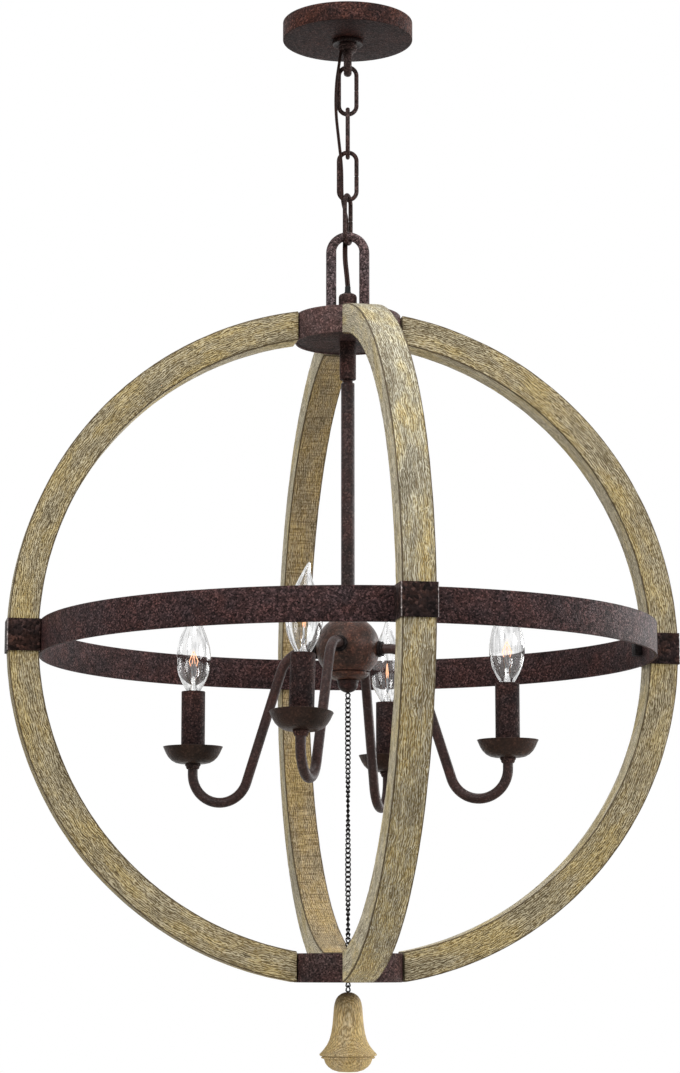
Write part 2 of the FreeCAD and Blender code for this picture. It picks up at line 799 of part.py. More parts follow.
def build():
    """All pieces by name."""
    pieces = {
        "canopy": make_canopy(),
        "mounting_strap": make_mounting_strap(),
        "strap_nut": make_strap_nut(),
        "canopy_rod": rod(loop_neck_z + seat_gap, 0),
        "canopy_loop": make_canopy_loop(),
        "screw_collar": make_collar(),
        "hub_loop": make_hub_loop(),
        "hub_nut": make_hub_nut(),
        "cord_bushing": make_bushing(),
        "hub_rod": make_hub_rod(),
        "coupling": make_coupling(),
        "stem_nipple": make_stem_nipple(),
        "stem": make_stem(),
        "band": make_band(),
        "ball": make_ball(),
        "ball_cap": make_ball_cap(),
        "finial": make_finial(),
        "bell": make_bell(),
        "supply_cord": make_cord(),
    }
    for index in range(4):
        pieces["link_%d" % (index + 1)] = make_link(index)

    rod_bore = rod_diameter / 2 + seat_gap
    chain_bore = chain_hole_diameter / 2
    pieces["top_hub"] = with_screw_holes(make_hub_cup(top_hub_top_z, top_hub_foot_z, rod_bore))
    pieces["top_hub_plate"] = make_hub_plate(top_hub_foot_z, 1, rod_bore)
    pieces["bottom_hub"] = with_screw_holes(make_hub_cup(bottom_hub_foot_z, bottom_hub_top_z, chain_bore))
    pieces["bottom_hub_plate"] = make_hub_plate(bottom_hub_top_z, -1, chain_bore)

    rib = make_rib()
    clamp = make_clamp()
    for place, angle in zip(places, rib_angles):
        pieces["rib_" + place] = spun(rib, angle)
    pieces["clamps"] = Part.Compound([spun(clamp, angle) for angle in rib_angles])
    bolt = make_bolt()
    pieces["clamp_bolts"] = Part.Compound([spun(bolt, angle) for angle in rib_angles])
    screws = [make_rib_screw(z) for z in rib_screw_places()]
    pieces["rib_screws"] = Part.Compound([spun(screw, angle) for angle in rib_angles for screw in screws])

    single = {"arm": make_arm(), "cup": make_cup(), "sleeve": make_sleeve(),
              "lamp_glass": make_lamp_glass(), "lamp_base": make_lamp_base()}
    for name, shape in single.items():
        for index, place in enumerate(places):
            pieces[name + "_" + place] = lifted(shape, index)
    grouped = {"arm_collars": make_arm_collar(), "cup_nuts": make_cup_nut(), "sockets": make_socket()}
    for name, shape in grouped.items():
        pieces[name] = Part.Compound([lifted(shape, index) for index in range(4)])

    pieces["fine_chain"] = Part.Compound(make_fine_chain())
    pieces["bell_chain"] = Part.Compound(make_bell_chain())
    return pieces


os.makedirs("parts", exist_ok=True)
for name, shape in build().items():
    shape.exportStep("parts/" + name + ".step")
print("bell swings at", round(bell_pivot_z, 3), "links", fine_link_count)
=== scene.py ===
import bmesh
import bpy
import math
from mathutils import Matrix, Vector, noise


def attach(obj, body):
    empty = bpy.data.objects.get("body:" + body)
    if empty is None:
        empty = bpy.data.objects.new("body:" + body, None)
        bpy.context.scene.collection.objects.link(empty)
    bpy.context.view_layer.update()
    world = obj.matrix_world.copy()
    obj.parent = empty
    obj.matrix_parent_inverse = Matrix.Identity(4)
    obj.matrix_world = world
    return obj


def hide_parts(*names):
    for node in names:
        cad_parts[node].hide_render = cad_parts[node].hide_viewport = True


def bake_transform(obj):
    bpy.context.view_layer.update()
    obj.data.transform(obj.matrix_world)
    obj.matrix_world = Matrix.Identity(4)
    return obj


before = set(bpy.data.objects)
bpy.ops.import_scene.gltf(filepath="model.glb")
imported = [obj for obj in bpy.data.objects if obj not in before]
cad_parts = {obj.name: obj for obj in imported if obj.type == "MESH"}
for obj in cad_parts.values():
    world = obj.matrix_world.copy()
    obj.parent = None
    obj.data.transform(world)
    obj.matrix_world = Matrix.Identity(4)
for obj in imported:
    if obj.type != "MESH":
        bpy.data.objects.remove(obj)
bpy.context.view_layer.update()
scene = bpy.context.scene
turn = math.radians


# Ceiling canopy: a shallow round pan pressed from sheet steel, screwed up against the ceiling.
# It is painted in a pebbled rust-brown finish, as is all the ironwork. Shapes are drawn in millimetres
# and made metres when a piece is finished.
def spin_round(blank, drawn, centre, axis, steps):
    """Spins what is drawn once round an axis and closes the seam."""
    bmesh.ops.spin(blank, geom=drawn, cent=centre, axis=axis, dvec=(0, 0, 0), angle=2 * math.pi,
                   steps=steps, use_merge=True, use_duplicate=False)
    bmesh.ops.remove_doubles(blank, verts=blank.verts[:], dist=0.001)


def lathe(outline, steps, at=0):
    """A blank whose outline of (radius, height) is spun round the upright axis. It is a ring of metal
    where its outline stays off the axis, and solid where it starts and ends on it."""
    blank = bmesh.new()
    row = [blank.verts.new((radius, 0, at + height)) for radius, height in outline]
    edges = [blank.edges.new(pair) for pair in zip(row, row[1:])]
    if outline[0][0] > 0:
        edges.append(blank.edges.new((row[-1], row[0])))
    spin_round(blank, row + edges, (0, 0, 0), (0, 0, 1), steps)
    return blank


def ease(blank, edges, width, segments):
    """Takes the sharpness off the given edges."""
    bmesh.ops.bevel(blank, geom=edges, offset=width, offset_type="OFFSET", segments=segments, profile=0.5,
                    affect="EDGES", clamp_overlap=True, material=-1)


def ease_edges(blank, width, segments=2, sharper=35):
    """Takes the sharpness off every edge that turns more than a given angle."""
    sharp = [e for e in blank.edges if len(e.link_faces) == 2 and e.calc_face_angle() > turn(sharper)]
    ease(blank, sharp, width, segments)


def settle(blank, name, finishes, crease):
    """The blank becomes an object, smooth wherever it turns less than an angle."""
    mesh = bpy.data.meshes.new(name)
    blank.to_mesh(mesh)
    blank.free()
    mesh.shade_smooth()
    mesh.set_sharp_from_angle(angle=turn(crease))
    for material in finishes:
        mesh.materials.append(material)
    piece = bpy.data.objects.new(name.replace(" ", "_"), mesh)
    scene.collection.objects.link(piece)
    return piece


def hang(blank, name, body, finishes, nodes=(), crease=38):
    """The blank becomes a finished piece that rides on its body and stands for its nodes."""
    bmesh.ops.recalc_face_normals(blank, faces=blank.faces[:])
    bmesh.ops.scale(blank, vec=(0.001, 0.001, 0.001), verts=blank.verts[:])
    piece = settle(blank, name, finishes, crease)
    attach(piece, body)
    if nodes:
        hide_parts(*nodes)
    return piece


def paint(code):
    """A colour written as it looks on a paint card, as the renderer needs it."""
    channels = [int(code[i:i + 2], 16) / 255 for i in (0, 2, 4)]
    return tuple(c / 12.92 if c <= 0.04045 else ((c + 0.055) / 1.055) ** 2.4 for c in channels) + (1,)


def look_of(labels, codes, amounts):
    """The inputs of an effect: named tones from their paint card codes, and named amounts."""
    tones = dict(zip(labels, map(paint, codes.split())))
    return tones | {label.replace("_", " "): amount for label, amount in amounts.items()}


def effect(name, inputs):
    """An empty node group with named inputs, which puts out a colour, a roughness and a height."""
    group = bpy.data.node_groups.new(name, "ShaderNodeTree")
    kinds = {float: "NodeSocketFloat", tuple: "NodeSocketColor", type(None): "NodeSocketVector"}
    for label, value in inputs.items():
        socket = group.interface.new_socket(name=label, in_out="INPUT", socket_type=kinds[type(value)])
        if value is not None:
            socket.default_value = value
    for label, kind in (("Color", tuple), ("Roughness", float), ("Height", float)):
        group.interface.new_socket(name=label, in_out="OUTPUT", socket_type=kinds[kind])
    return group, group.nodes.new("NodeGroupInput").outputs, group.nodes.new("NodeGroupOutput").inputs


def feed(tree, source, socket):
    """Links what feeds a socket, or sets it to a plain value."""
    if isinstance(source, bpy.types.NodeSocket):
        tree.links.new(source, socket)
    else:
        socket.default_value = source


def add(tree, kind, links=(), **settings):
    """A node with its settings, fed by (input, source) pairs."""
    node = tree.nodes.new(kind)
    for label, value in settings.items():
        setattr(node, label, value)
    for label, source in links:
        feed(tree, source, node.inputs[label])
    return node


def own_place(tree):
    return add(tree, "ShaderNodeTexCoord").outputs["Object"]


def cloudy(tree, where, scale, detail, rough=0.5):
    """Soft noise of a given fineness."""
    return add(tree, "ShaderNodeTexNoise", [("Vector", where), ("Scale", scale), ("Detail", detail),
                                            ("Roughness", rough)]).outputs["Fac"]


def maths(tree, operation, *terms, clamp=False):
    return add(tree, "ShaderNodeMath", enumerate(terms), operation=operation, use_clamp=clamp).outputs[0]


def spread(tree, value, low, high, to_low=0.0, to_high=1.0):
    """A value carried over from one range to another, and held within it."""
    return add(tree, "ShaderNodeMapRange", [("Value", value), ("From Min", low), ("From Max", high),
                                            ("To Min", to_low), ("To Max", to_high)]).outputs[0]


def ramp(tree, source, *stops):
    """A colour ramp through (position, colour or level) stops."""
    node = add(tree, "ShaderNodeValToRGB", [("Fac", source)])
    cells = node.color_ramp.elements
    while len(cells) < len(stops):
        cells.new(0.5)
    for cell, (position, colour) in zip(cells, stops):
        cell.position = position
        cell.color = colour if isinstance(colour, tuple) else (colour, colour, colour, 1)
    return node.outputs["Color"]


def layer(tree, under, mask, colour, blend="MIX"):
    """A colour laid over what is under it, as far as the mask lets it through."""
    mix = add(tree, "ShaderNodeMix", [("Factor", mask)], data_type="RGBA", blend_type=blend)
    feed(tree, under, mix.inputs[6])
    feed(tree, colour, mix.inputs[7])
    return mix.outputs[2]


def relief_of(tree, height, metres):
    return add(tree, "ShaderNodeBump", [("Height", height), ("Distance", metres),
                                        ("Strength", 1.0)]).outputs["Normal"]


def new_material(name):
    material = bpy.data.materials.new(name)
    material.use_nodes = True
    return material, material.node_tree, material.node_tree.nodes["Principled BSDF"].inputs


def finish(name, group, look, relief, **shader):
    """A material that takes its colour, its roughness and a relief in metres from an effect."""
    material, tree, surface = new_material(name)
    source = add(tree, "ShaderNodeGroup", look.items(), node_tree=group, name="effect").outputs
    feed(tree, source["Color"], surface["Base Color"])
    feed(tree, source["Roughness"], surface["Roughness"])
    feed(tree, relief_of(tree, source["Height"], relief), surface["Normal"])
    for label, value in shader.items():
        surface[label.replace("_", " ")].default_value = value
    return material


painted, iron_in, iron_out = effect("rust brown paint", {
    "Rust": 0.5, "Pebble Size": 1.0, "Speckle": 1.0, "Polish": 0.0,
    "Dark": paint("191314"), "Brown": paint("2c2321"), "Red": paint("3c231f")})
spot = own_place(painted)
sized = add(painted, "ShaderNodeVectorMath", [("Vector", spot), ("Scale", iron_in["Pebble Size"])],
            operation="SCALE").outputs[0]
grit = cloudy(painted, sized, 900.0, 2.0, 0.6)
pebbles = add(painted, "ShaderNodeTexVoronoi", [("Vector", sized), ("Scale", 620.0), ("Randomness", 1.0)],
              feature="F1").outputs
large, small = cloudy(painted, spot, 26.0, 2.0), cloudy(painted, spot, 90.0, 2.0)
patches = maths(painted, "SUBTRACT", maths(painted, "ADD", large, small), 1.0)
rusty = maths(painted, "MULTIPLY_ADD", patches, 1.3, iron_in["Rust"], clamp=True)
ground = layer(painted, iron_in["Brown"], rusty, iron_in["Red"])
soot = ramp(painted, cloudy(painted, spot, 50.0, 2.0), (0.46, 0.0), (0.74, 0.6))
skin = layer(painted, ground, soot, iron_in["Dark"])
cell = add(painted, "ShaderNodeSeparateColor", [("Color", pebbles["Color"])]).outputs[0]
height = maths(painted, "ADD", cell, grit)
# The pebbles give the paint a random speckle, and the highest pebble tops are lightened as painted glints.
speckle_with_painted_glints = maths(painted, "ADD", spread(painted, height, 0.3, 1.5, -0.75, 0.65),
               spread(painted, height, 1.3, 1.42, 0.0, 1.1))
speckle = maths(painted, "MULTIPLY_ADD", speckle_with_painted_glints, iron_in["Speckle"], 1.0)
specked = add(painted, "ShaderNodeVectorMath", [("Vector", skin), ("Scale", speckle)], operation="SCALE")
smoother = maths(painted, "MULTIPLY_ADD", iron_in["Polish"], -0.6, 1.0)
sheen = maths(painted, "MULTIPLY", spread(painted, height, 0.3, 1.5, 0.7, 0.45), smoother)
feed(painted, specked.outputs[0], iron_out["Color"])
feed(painted, sheen, iron_out["Roughness"])
feed(painted, maths(painted, "SUBTRACT", grit, pebbles["Distance"]), iron_out["Height"])


def iron_shade(name, codes, relief=0.0003, gloss=0.07, **amounts):
    """A shade of the paint, from its dark, brown and red tones, its relief, its gloss and its amounts."""
    look = look_of(("Dark", "Brown", "Red"), codes, amounts)
    return finish(name, painted, look, relief, Metallic=0.0, Specular_IOR_Level=gloss)


iron = iron_shade("rust brown iron", "191314 271f1f 38221e", Rust=0.4, Speckle=1.2, Pebble_Size=1.25)
canopy_iron = iron_shade("rusty canopy iron", "110c0d 241a1a 4a2a20", Rust=0.45, Speckle=1.3,
                         Pebble_Size=1.3)
# The underside of the canopy takes a darker copy of its paint: painted shade where it faces down.
canopy_underside_painted_shade_iron = iron_shade("canopy underside iron with painted shade", "0e0808 1d1110 311a15", Rust=0.4, Speckle=1.1,
                        Pebble_Size=1.3)
canopy_radius, canopy_deep, canopy_wall, loop_hole = 60, 17, 1.2, 7.1
canopy_inside = canopy_wall - canopy_deep
canopy = lathe([(canopy_radius - canopy_wall, 0), (canopy_radius, 0), (canopy_radius, -canopy_deep),
                (loop_hole, -canopy_deep), (loop_hole, canopy_inside),
                (canopy_radius - canopy_wall, canopy_inside)], 144)
ease_edges(canopy, 0.55, 3)
# Faces low on the canopy, on its underside, take the darker paint with painted shade.
for face in canopy.faces:
    if face.calc_center_median().z < 0.1 - canopy_deep:
        face.material_index = 1
hang(canopy, "ceiling canopy", "mount", [canopy_iron, canopy_underside_painted_shade_iron], ["canopy"])


# Mounting strap, its nut and the threaded rods: plain bought hardware in zinc plate, hidden inside the
# canopy and the hubs. Only their colour and the crystal pattern of the plating are added here.
def dress(nodes, material):
    """Gives nodes that keep their own shape a finish."""
    for node in nodes:
        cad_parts[node].data.materials.clear()
        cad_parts[node].data.materials.append(material)


zinc_effect, _, zinc_out = effect("zinc plate", {})
zinc_place = own_place(zinc_effect)
crystals = add(zinc_effect, "ShaderNodeTexVoronoi",
               [("Vector", zinc_place), ("Scale", 260.0)]).outputs["Distance"]
brushed = cloudy(zinc_effect, zinc_place, 900.0, 3.0)
plated = ramp(zinc_effect, crystals, (0.0, paint("c3c5c6")), (0.8, paint("93979a")))
feed(zinc_effect, plated, zinc_out["Color"])
feed(zinc_effect, spread(zinc_effect, brushed, 0.0, 1.0, 0.25, 0.5), zinc_out["Roughness"])
feed(zinc_effect, brushed, zinc_out["Height"])
zinc = finish("zinc plated steel", zinc_effect, {}, 0.0001, Metallic=0.9)
dress(("mounting_strap", "strap_nut", "canopy_rod", "hub_rod", "rib_screws"), zinc)


# Canopy loop: a cast ring on a short threaded neck, which comes down through the canopy.
# The knurled screw collar turns up its thread and holds the canopy to the ceiling.
def rod_ring(radius, sides, middle, wide=1.0):
    """A round outline of rod, lying level at a point, ready to be carried along."""
    blank = bmesh.new()
    ring = bmesh.ops.create_circle(blank, cap_ends=False, radius=radius, segments=sides)["verts"]
    bmesh.ops.scale(blank, vec=(wide, 1, 1), verts=ring)
    bmesh.ops.translate(blank, vec=middle, verts=ring)
    return blank, blank.edges[:]


def join(blank, part):
    """Adds a part to a blank, and lets go of the part."""
    mesh = bpy.data.meshes.new("part")
    part.to_mesh(mesh)
    part.free()
    blank.from_mesh(mesh)
    bpy.data.meshes.remove(mesh)


dark_iron = iron_shade("dark chain iron", "1d1817 372c2a 452a25", 0.00025, Rust=0.2, Pebble_Size=1.2)
neck = lathe([(0, canopy_inside), (7, canopy_inside), (7, -21.2), (8.7, -21.2), (8.7, -23.2), (7.6, -23.5),
              (7.6, -24.2), (8.6, -24.5), (8.6, -26.6), (6.4, -27.4), (5.2, -29.2), (4.3, -31.2),
              (0, -31.2)], 64)
ease_edges(neck, 0.25, 2)
loop_height, loop_radius, loop_rod, loop_wide = -38.1, 9.9, 3.1, 3.7
loop, ring = rod_ring(loop_rod, 24, (0, loop_radius, loop_height), loop_wide / loop_rod)
spin_round(loop, ring + loop.verts[:], (0, 0, loop_height), (1, 0, 0), 56)
join(neck, loop)
hang(neck, "canopy loop", "mount", [dark_iron], ["canopy_loop"])

collar_iron = iron_shade("turned collar iron", "0d0a0a 1d1615 3c231f", 0.0001, 0.1, Rust=0.2, Speckle=0.7,
                         Polish=0.5)
collar_steps, knurl_from, knurl_deep = 120, 13.5, 0.965
collar = lathe([(7.4, -17.3), (14.2, -17.3), (14.2, -20.9), (12.9, -20.9), (11.6, -20.1), (7.4, -20.1)],
               collar_steps)
ease_edges(collar, 0.5, 2)
for vert in collar.verts:
    column = round(math.atan2(vert.co.y, vert.co.x) / (2 * math.pi) * collar_steps)
    if math.hypot(vert.co.x, vert.co.y) > knurl_from and column % 3 == 0:
        vert.co.xy *= knurl_deep
hang(collar, "screw collar", "collar", [collar_iron], ["screw_collar"])


# Chain: four oval links bent from 4 mm steel wire, each with a fine slit in one leg where it was closed.
# They hang bar on bar, each turned about a quarter from the last.
def carry(blank, ring, step):
    """Carries an open end of the rod straight on."""
    grown = bmesh.ops.extrude_edge_only(blank, edges=ring)["geom"]
    verts = [g for g in grown if isinstance(g, bmesh.types.BMVert)]
    bmesh.ops.translate(blank, vec=step, verts=verts)
    edges = [g for g in grown if isinstance(g, bmesh.types.BMEdge)]
    return [e for e in edges if e.verts[0] in verts and e.verts[1] in verts]


def bend_round(blank, ring, centre, angle, steps):
    """Bends an open end of the rod about a level line through the centre, which runs away from the viewer."""
    grown = bmesh.ops.spin(blank, geom=ring, cent=centre, axis=(0, 1, 0), dvec=(0, 0, 0), angle=turn(angle),
                           steps=steps, use_duplicate=False, use_merge=False)["geom_last"]
    return [g for g in grown if isinstance(g, bmesh.types.BMEdge)]


def close_ends(blank):
    bmesh.ops.holes_fill(blank, edges=[e for e in blank.edges if e.is_boundary], sides=0)


def place(blank, matrix):
    bmesh.ops.transform(blank, matrix=matrix, verts=blank.verts[:])
    return blank


def turned_about(angle, height=0.0):
    """A turn about the upright axis, at a height."""
    return Matrix.Translation((0, 0, height)) @ Matrix.Rotation(turn(angle), 4, "Z")


wire_radius, link_half, link_leg, half_slit = 2, 8.1, 14.45, 0.3
first_link, link_pitch, link_turns = -65.15, 40.8, (0, 90, 0, 71)
link_blank, ring = rod_ring(wire_radius, 20, (link_half, 0, half_slit))
ring = carry(link_blank, ring, (0, 0, link_leg - half_slit))
ring = bend_round(link_blank, ring, (0, 0, link_leg), -180, 28)
ring = carry(link_blank, ring, (0, 0, -2 * link_leg))
ring = bend_round(link_blank, ring, (0, 0, -link_leg), -180, 28)
ring = carry(link_blank, ring, (0, 0, link_leg - half_slit))
close_ends(link_blank)
ease_edges(link_blank, 0.25, 1, 60)
for number, angle in enumerate(link_turns):
    link = place(link_blank.copy(), turned_about(angle, first_link - link_pitch * number))
    node = f"link_{number + 1}"
    hang(link, f"chain link {number + 1}", node, [dark_iron], [node])
link_blank.free()


# Supply cord: two thin brown wires that lie side by side, from the neck of the canopy loop down past the
# links to the bushing. Each length bends over one joint of the chain, and meets the next inside a link.
def noise_effect(name, scale, detail, dark, pale, roughness):
    """An effect in which one noise gives the colour, the roughness and the relief."""
    group, _, out = effect(name, {})
    pattern = cloudy(group, own_place(group), scale, detail)
    feed(group, ramp(group, pattern, (0.3, paint(dark)), (0.7, paint(pale))), out["Color"])
    feed(group, spread(group, pattern, 0.0, 1.0, *roughness), out["Roughness"])
    feed(group, pattern, out["Height"])
    return group


def wire_curve(name, points, kind, thick=0.0):
    """The mesh of a curve along points in millimetres, round if it is given a thickness."""
    data = bpy.data.curves.new(name, "CURVE")
    data.dimensions = "3D"
    data.resolution_u = 14
    data.bevel_depth = thick / 2000
    data.bevel_resolution = 4
    data.use_fill_caps = True
    spline = data.splines.new(kind)
    spline.points.add(len(points) - 1)
    for point, position in zip(spline.points, points):
        point.co = [value / 1000 for value in position] + [1]
    if kind == "NURBS":
        spline.order_u = 3
        spline.use_endpoint_u = True
    made = bpy.data.objects.new(name, data)
    mesh = bpy.data.meshes.new_from_object(made)
    bpy.data.objects.remove(made)
    return mesh


cord_route = [(-6.2, -3.2, -27.2), (-7.52, -3.92, -38.4), (-10.6, -4, -58.5), (-11.2, -4, -85.3),
              (-8.4, -4, -112.1), (-5.4, -4, -138.9), (-5.28, -3.92, -161.3), (-4.8, -3.6, -174),
              (-1, 0.5, -184), (-0.5, 3.2, -192), (-1.7, 6, -200), (-2.3, 6.32, -206), (-2.6, 3.6, -223.8),
              (-0.88, 1, -239.5), (0, 0, -250.6)]
cord_meets = [-67.9, -108.1, -148.9, -189.7]
strand_thick, last_thick, half_apart, parting, parting_from, parting_over = 1.45, 2.3, 0.7, 0.45, -195, 12
jacket_effect = noise_effect("cord jacket", 380.0, 3.0, "1f1412", "38241f", (0.3, 0.55))
jacket = finish("brown cord jacket", jacket_effect, {}, 0.0001, Specular_IOR_Level=0.1)
middle_line = [vert.co * 1000 for vert in wire_curve("cord route", cord_route, "NURBS").vertices]
meets = [min(range(len(middle_line)), key=lambda i: abs(middle_line[i].z - level)) for level in cord_meets]
for number, (first, last) in enumerate(zip([0] + meets, meets + [len(middle_line) - 1])):
    run = middle_line[first:last + 1]
    apart = [half_apart + parting * min(max((parting_from - p.z) / parting_over, 0), 1) for p in run]
    length = bmesh.new()
    for side in (-1, 1):
        strand = [(p.x + side * out, p.y, p.z) for p, out in zip(run, apart)]
        thick = last_thick if number == len(meets) else strand_thick
        length.from_mesh(wire_curve("strand", strand, "POLY", thick))
    piece = settle(length, f"supply cord {number + 1}", [jacket], 50)
    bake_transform(piece)
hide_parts("supply_cord")


# Hub loop: a tall shackle of 8 mm round bar standing on a cross strap, all one casting. The hub nut holds it
# down on the threaded rod, and a black moulded bushing in the nut takes the cord.
def block(blank, centre, size):
    """Adds a box of a given size at a point."""
    bmesh.ops.create_cube(blank, size=1, matrix=Matrix.Translation(centre) @ Matrix.Diagonal((*size, 1)))


def iron_piece(blank, name, *coats):
    """A piece of ironwork on the orb, which stands for the node of its own name."""
    hang(blank, name, "orb", coats, [name.replace(" ", "_")])


hub_top, crown, leg_out, bar = -279.2, -219.65, 15.85, 4
leg_thicker, thin_over = 0.18, 12
loop_iron = iron_shade("pebbled loop iron", "2a2424 4c4243 513e3c", 0.0004, Rust=0.3, Speckle=1.5,
                       Pebble_Size=1.3)
shackle, ring = rod_ring(bar, 28, (leg_out, 0, hub_top))
ring = carry(shackle, ring, (0, 0, crown - hub_top))
ring = bend_round(shackle, ring, (0, 0, crown), -180, 40)
ring = carry(shackle, ring, (0, 0, hub_top - crown))
close_ends(shackle)
for vert in shackle.verts:
    rise = max(vert.co.z - crown, 0)
    reach = math.hypot(vert.co.x, rise)
    inward = (leg_out + bar - reach) * (1 + leg_thicker * (1 - min(rise / thin_over, 1)))
    grown = (leg_out + bar - inward) / reach
    vert.co.x *= grown
    vert.co.z += rise * (grown - 1)
strap = bmesh.new()
block(strap, (0, 0, -276.2), (31.7, 13, 6))
ease(strap, strap.edges[:], 1.1, 3)
join(shackle, strap)
for side in (-1, 1):
    foot = lathe([(6.6, hub_top), (5.6, -278.4), (4.7, -276.8), (4.2, -274.6), (3.9, -272), (3, -272),
                  (3, hub_top)], 32)
    join(shackle, place(foot, Matrix.Translation((leg_out * side, 0, 0))))
iron_piece(shackle, "hub loop", loop_iron)

nut_top = -258.2
nut = lathe([(0, -273.2), (8.3, -273.2), (8.3, -260.9), (7.6, -259.2), (5.9, nut_top), (0, nut_top)], 64)
ease_edges(nut, 0.4, 2)
iron_piece(nut, "hub nut", dark_iron)
moulded = noise_effect("moulded plastic", 1500.0, 2.0, "121212", "202020", (0.32, 0.5))
black = finish("black moulded plastic", moulded, {}, 0.00005, Specular_IOR_Level=0.1)
bushing = lathe([(0, nut_top), (3.2, nut_top), (3.1, -256.4), (2.7, -256), (2.6, -251.4), (2.3, -250.7),
                 (0, -250.6)], 40)
hang(bushing, "cord bushing", "orb", [black], ["cord_bushing"])


# Hubs: two drawn steel cups, each closed by a flat plate. The wooden ribs butt on their walls and are
# screwed from inside, so nothing of the screws shows.
def tube(bore, radius, end, other_end, steps, eased, segments=2):
    """A straight ring or tube with eased edges."""
    made = lathe([(bore, end), (radius, end), (radius, other_end), (bore, other_end)], steps)
    ease_edges(made, eased, segments)
    return made


hub_radius, hub_deep, hub_wall, hub_bore, plate_radius, top_plate_low = 48, 25.2, 1.6, 4.85, 46.3, -303.42
hub_outline = [(hub_bore, 0), (hub_radius, 0), (hub_radius, -hub_deep), (hub_radius - hub_wall, -hub_deep),
               (hub_radius - hub_wall, -hub_wall), (hub_bore, -hub_wall)]
hub_iron = iron_shade("pebbled hub iron", "231b1c 3b302f 48302d", Rust=0.35, Speckle=1.3, Pebble_Size=1.3)
# The top hub takes a lighter copy of the same paint, a painted sheen where light falls on it; the bottom hub
# keeps the darker copy.
top_hub_painted_sheen_iron = iron_shade("hub iron with painted sheen", "332829 504342 5a403c", Rust=0.35, Speckle=0.95,
                          Pebble_Size=1.3)
for name, coat, flat, way, bore, plate_low in (("top hub", top_hub_painted_sheen_iron, -279.22, 1, hub_bore, top_plate_low),
                                               ("bottom hub", hub_iron, -878.78, -1, 4.5, -856.18)):
    cup = lathe([(radius, way * height) for radius, height in hub_outline], 180, flat)
    ease_edges(cup, 0.7, 3)
    iron_piece(cup, name, coat)
    iron_piece(tube(bore, plate_radius, plate_low, plate_low + hub_wall, 120, 0.3), f"{name} plate", iron)


# Ribs: four half hoops of solid wood, sawn to a curve, brushed, limed and waxed to a weathered khaki.
# The inner faces of the front and back ribs keep their cross saw marks and are browner; faces turned left and
# right take a paler planed wood, painted light from the side lamps.
timber, wood_in, wood_out = effect("weathered wood", {
    "Vector": None, "Across": 0.0, "Along": 0.0, "Saw Marks": 0.0, "Lime": 1.0, "Hatch": 1.0, "Gold": 0.0,
    "Lines": 0.5, "Clouds": 1.0, "Pale": paint("c6b88f"), "Middle": paint("a9966c"), "Deep": paint("7e6b49")})


def vector_maths(tree, operation, first, second):
    return add(tree, "ShaderNodeVectorMath", [(0, first), (1, second)], operation=operation).outputs[0]


def drawn_out(scale, detail, rough):
    """Noise stretched along the grain."""
    along = add(timber, "ShaderNodeMapping", [("Vector", wavy), ("Scale", scale)]).outputs["Vector"]
    return cloudy(timber, along, 1.0, detail, rough)


def mask(shown, amount):
    """Where something shows, as far as an input of the wood lets it."""
    return maths(timber, "MULTIPLY", shown, wood_in[amount], clamp=True)


def between(pattern, *stops):
    return ramp(timber, pattern, *stops)


def stain(under, shown, colour, blend="MIX"):
    return layer(timber, under, shown, colour, blend)


sway = add(timber, "ShaderNodeTexNoise",
           [("Vector", wood_in["Vector"]), ("Scale", 55.0), ("Detail", 2.0)]).outputs["Color"]
swing = vector_maths(timber, "SUBTRACT", sway, (0.5, 0.5, 0.5))
small_swing = vector_maths(timber, "MULTIPLY", swing, (0.0, 0.006, 0.006))
wavy = vector_maths(timber, "ADD", wood_in["Vector"], small_swing)
grain = drawn_out((45, 900, 900), 3.0, 0.6)
streaks = drawn_out((60, 1200, 1200), 2.0, 0.5)
long_lines = drawn_out((14, 1100, 1100), 2.0, 0.5)
blotch = drawn_out((15, 42, 42), 3.0, 0.6)
lime = drawn_out((80, 700, 700), 3.0, 0.7)
saw = drawn_out((640, 45, 45), 3.0, 0.6)
deep_saw = drawn_out((230, 22, 22), 2.0, 0.5)
hatch_place = add(timber, "ShaderNodeMapping",
                  [("Vector", wavy), ("Rotation", (0.0, 0.0, 0.16)), ("Scale", (0.3, 1.0, 1.0))]).outputs[0]
hatch = add(timber, "ShaderNodeTexWave",
            [("Vector", hatch_place), ("Scale", 180.0), ("Distortion", 5.0), ("Detail", 2.0),
             ("Detail Scale", 1.2)], bands_direction="Y").outputs["Fac"]
fine = maths(timber, "MULTIPLY_ADD", hatch, 0.22, drawn_out((240, 1800, 1800), 1.0, 0.5), clamp=True)

body = stain(wood_in["Deep"], between(grain, (0.3, 0.0), (0.56, 1.0)), wood_in["Middle"])
body = stain(body, mask(between(lime, (0.42, 0.0), (0.68, 0.85)), "Lime"), wood_in["Pale"])
body = stain(body, mask(between(blotch, (0.48, 0.0), (0.64, 0.7)), "Clouds"), paint("776f59"))
body = stain(body, between(blotch, (0.34, 0.45), (0.48, 0.0)), paint("c9b27a"))

# Towards the foot of a rib the wood turns golden, and just below its clamp it is darker with a painted shadow
# of the clamp.
low = maths(timber, "MULTIPLY_ADD", blotch, 1.4, wood_in["Along"])
golden = mask(spread(timber, low, 1.1, 0.6), "Gold")
body = stain(body, golden, (1.0, 0.86, 0.57, 1), "MULTIPLY")
from_clamp = maths(timber, "ABSOLUTE", maths(timber, "ADD", wood_in["Along"], 0.17))
clamp_painted_shadow = mask(spread(timber, from_clamp, 0.06, 0.17, 0.32, 0.0), "Gold")
body = stain(body, clamp_painted_shadow, paint("6a5430"))

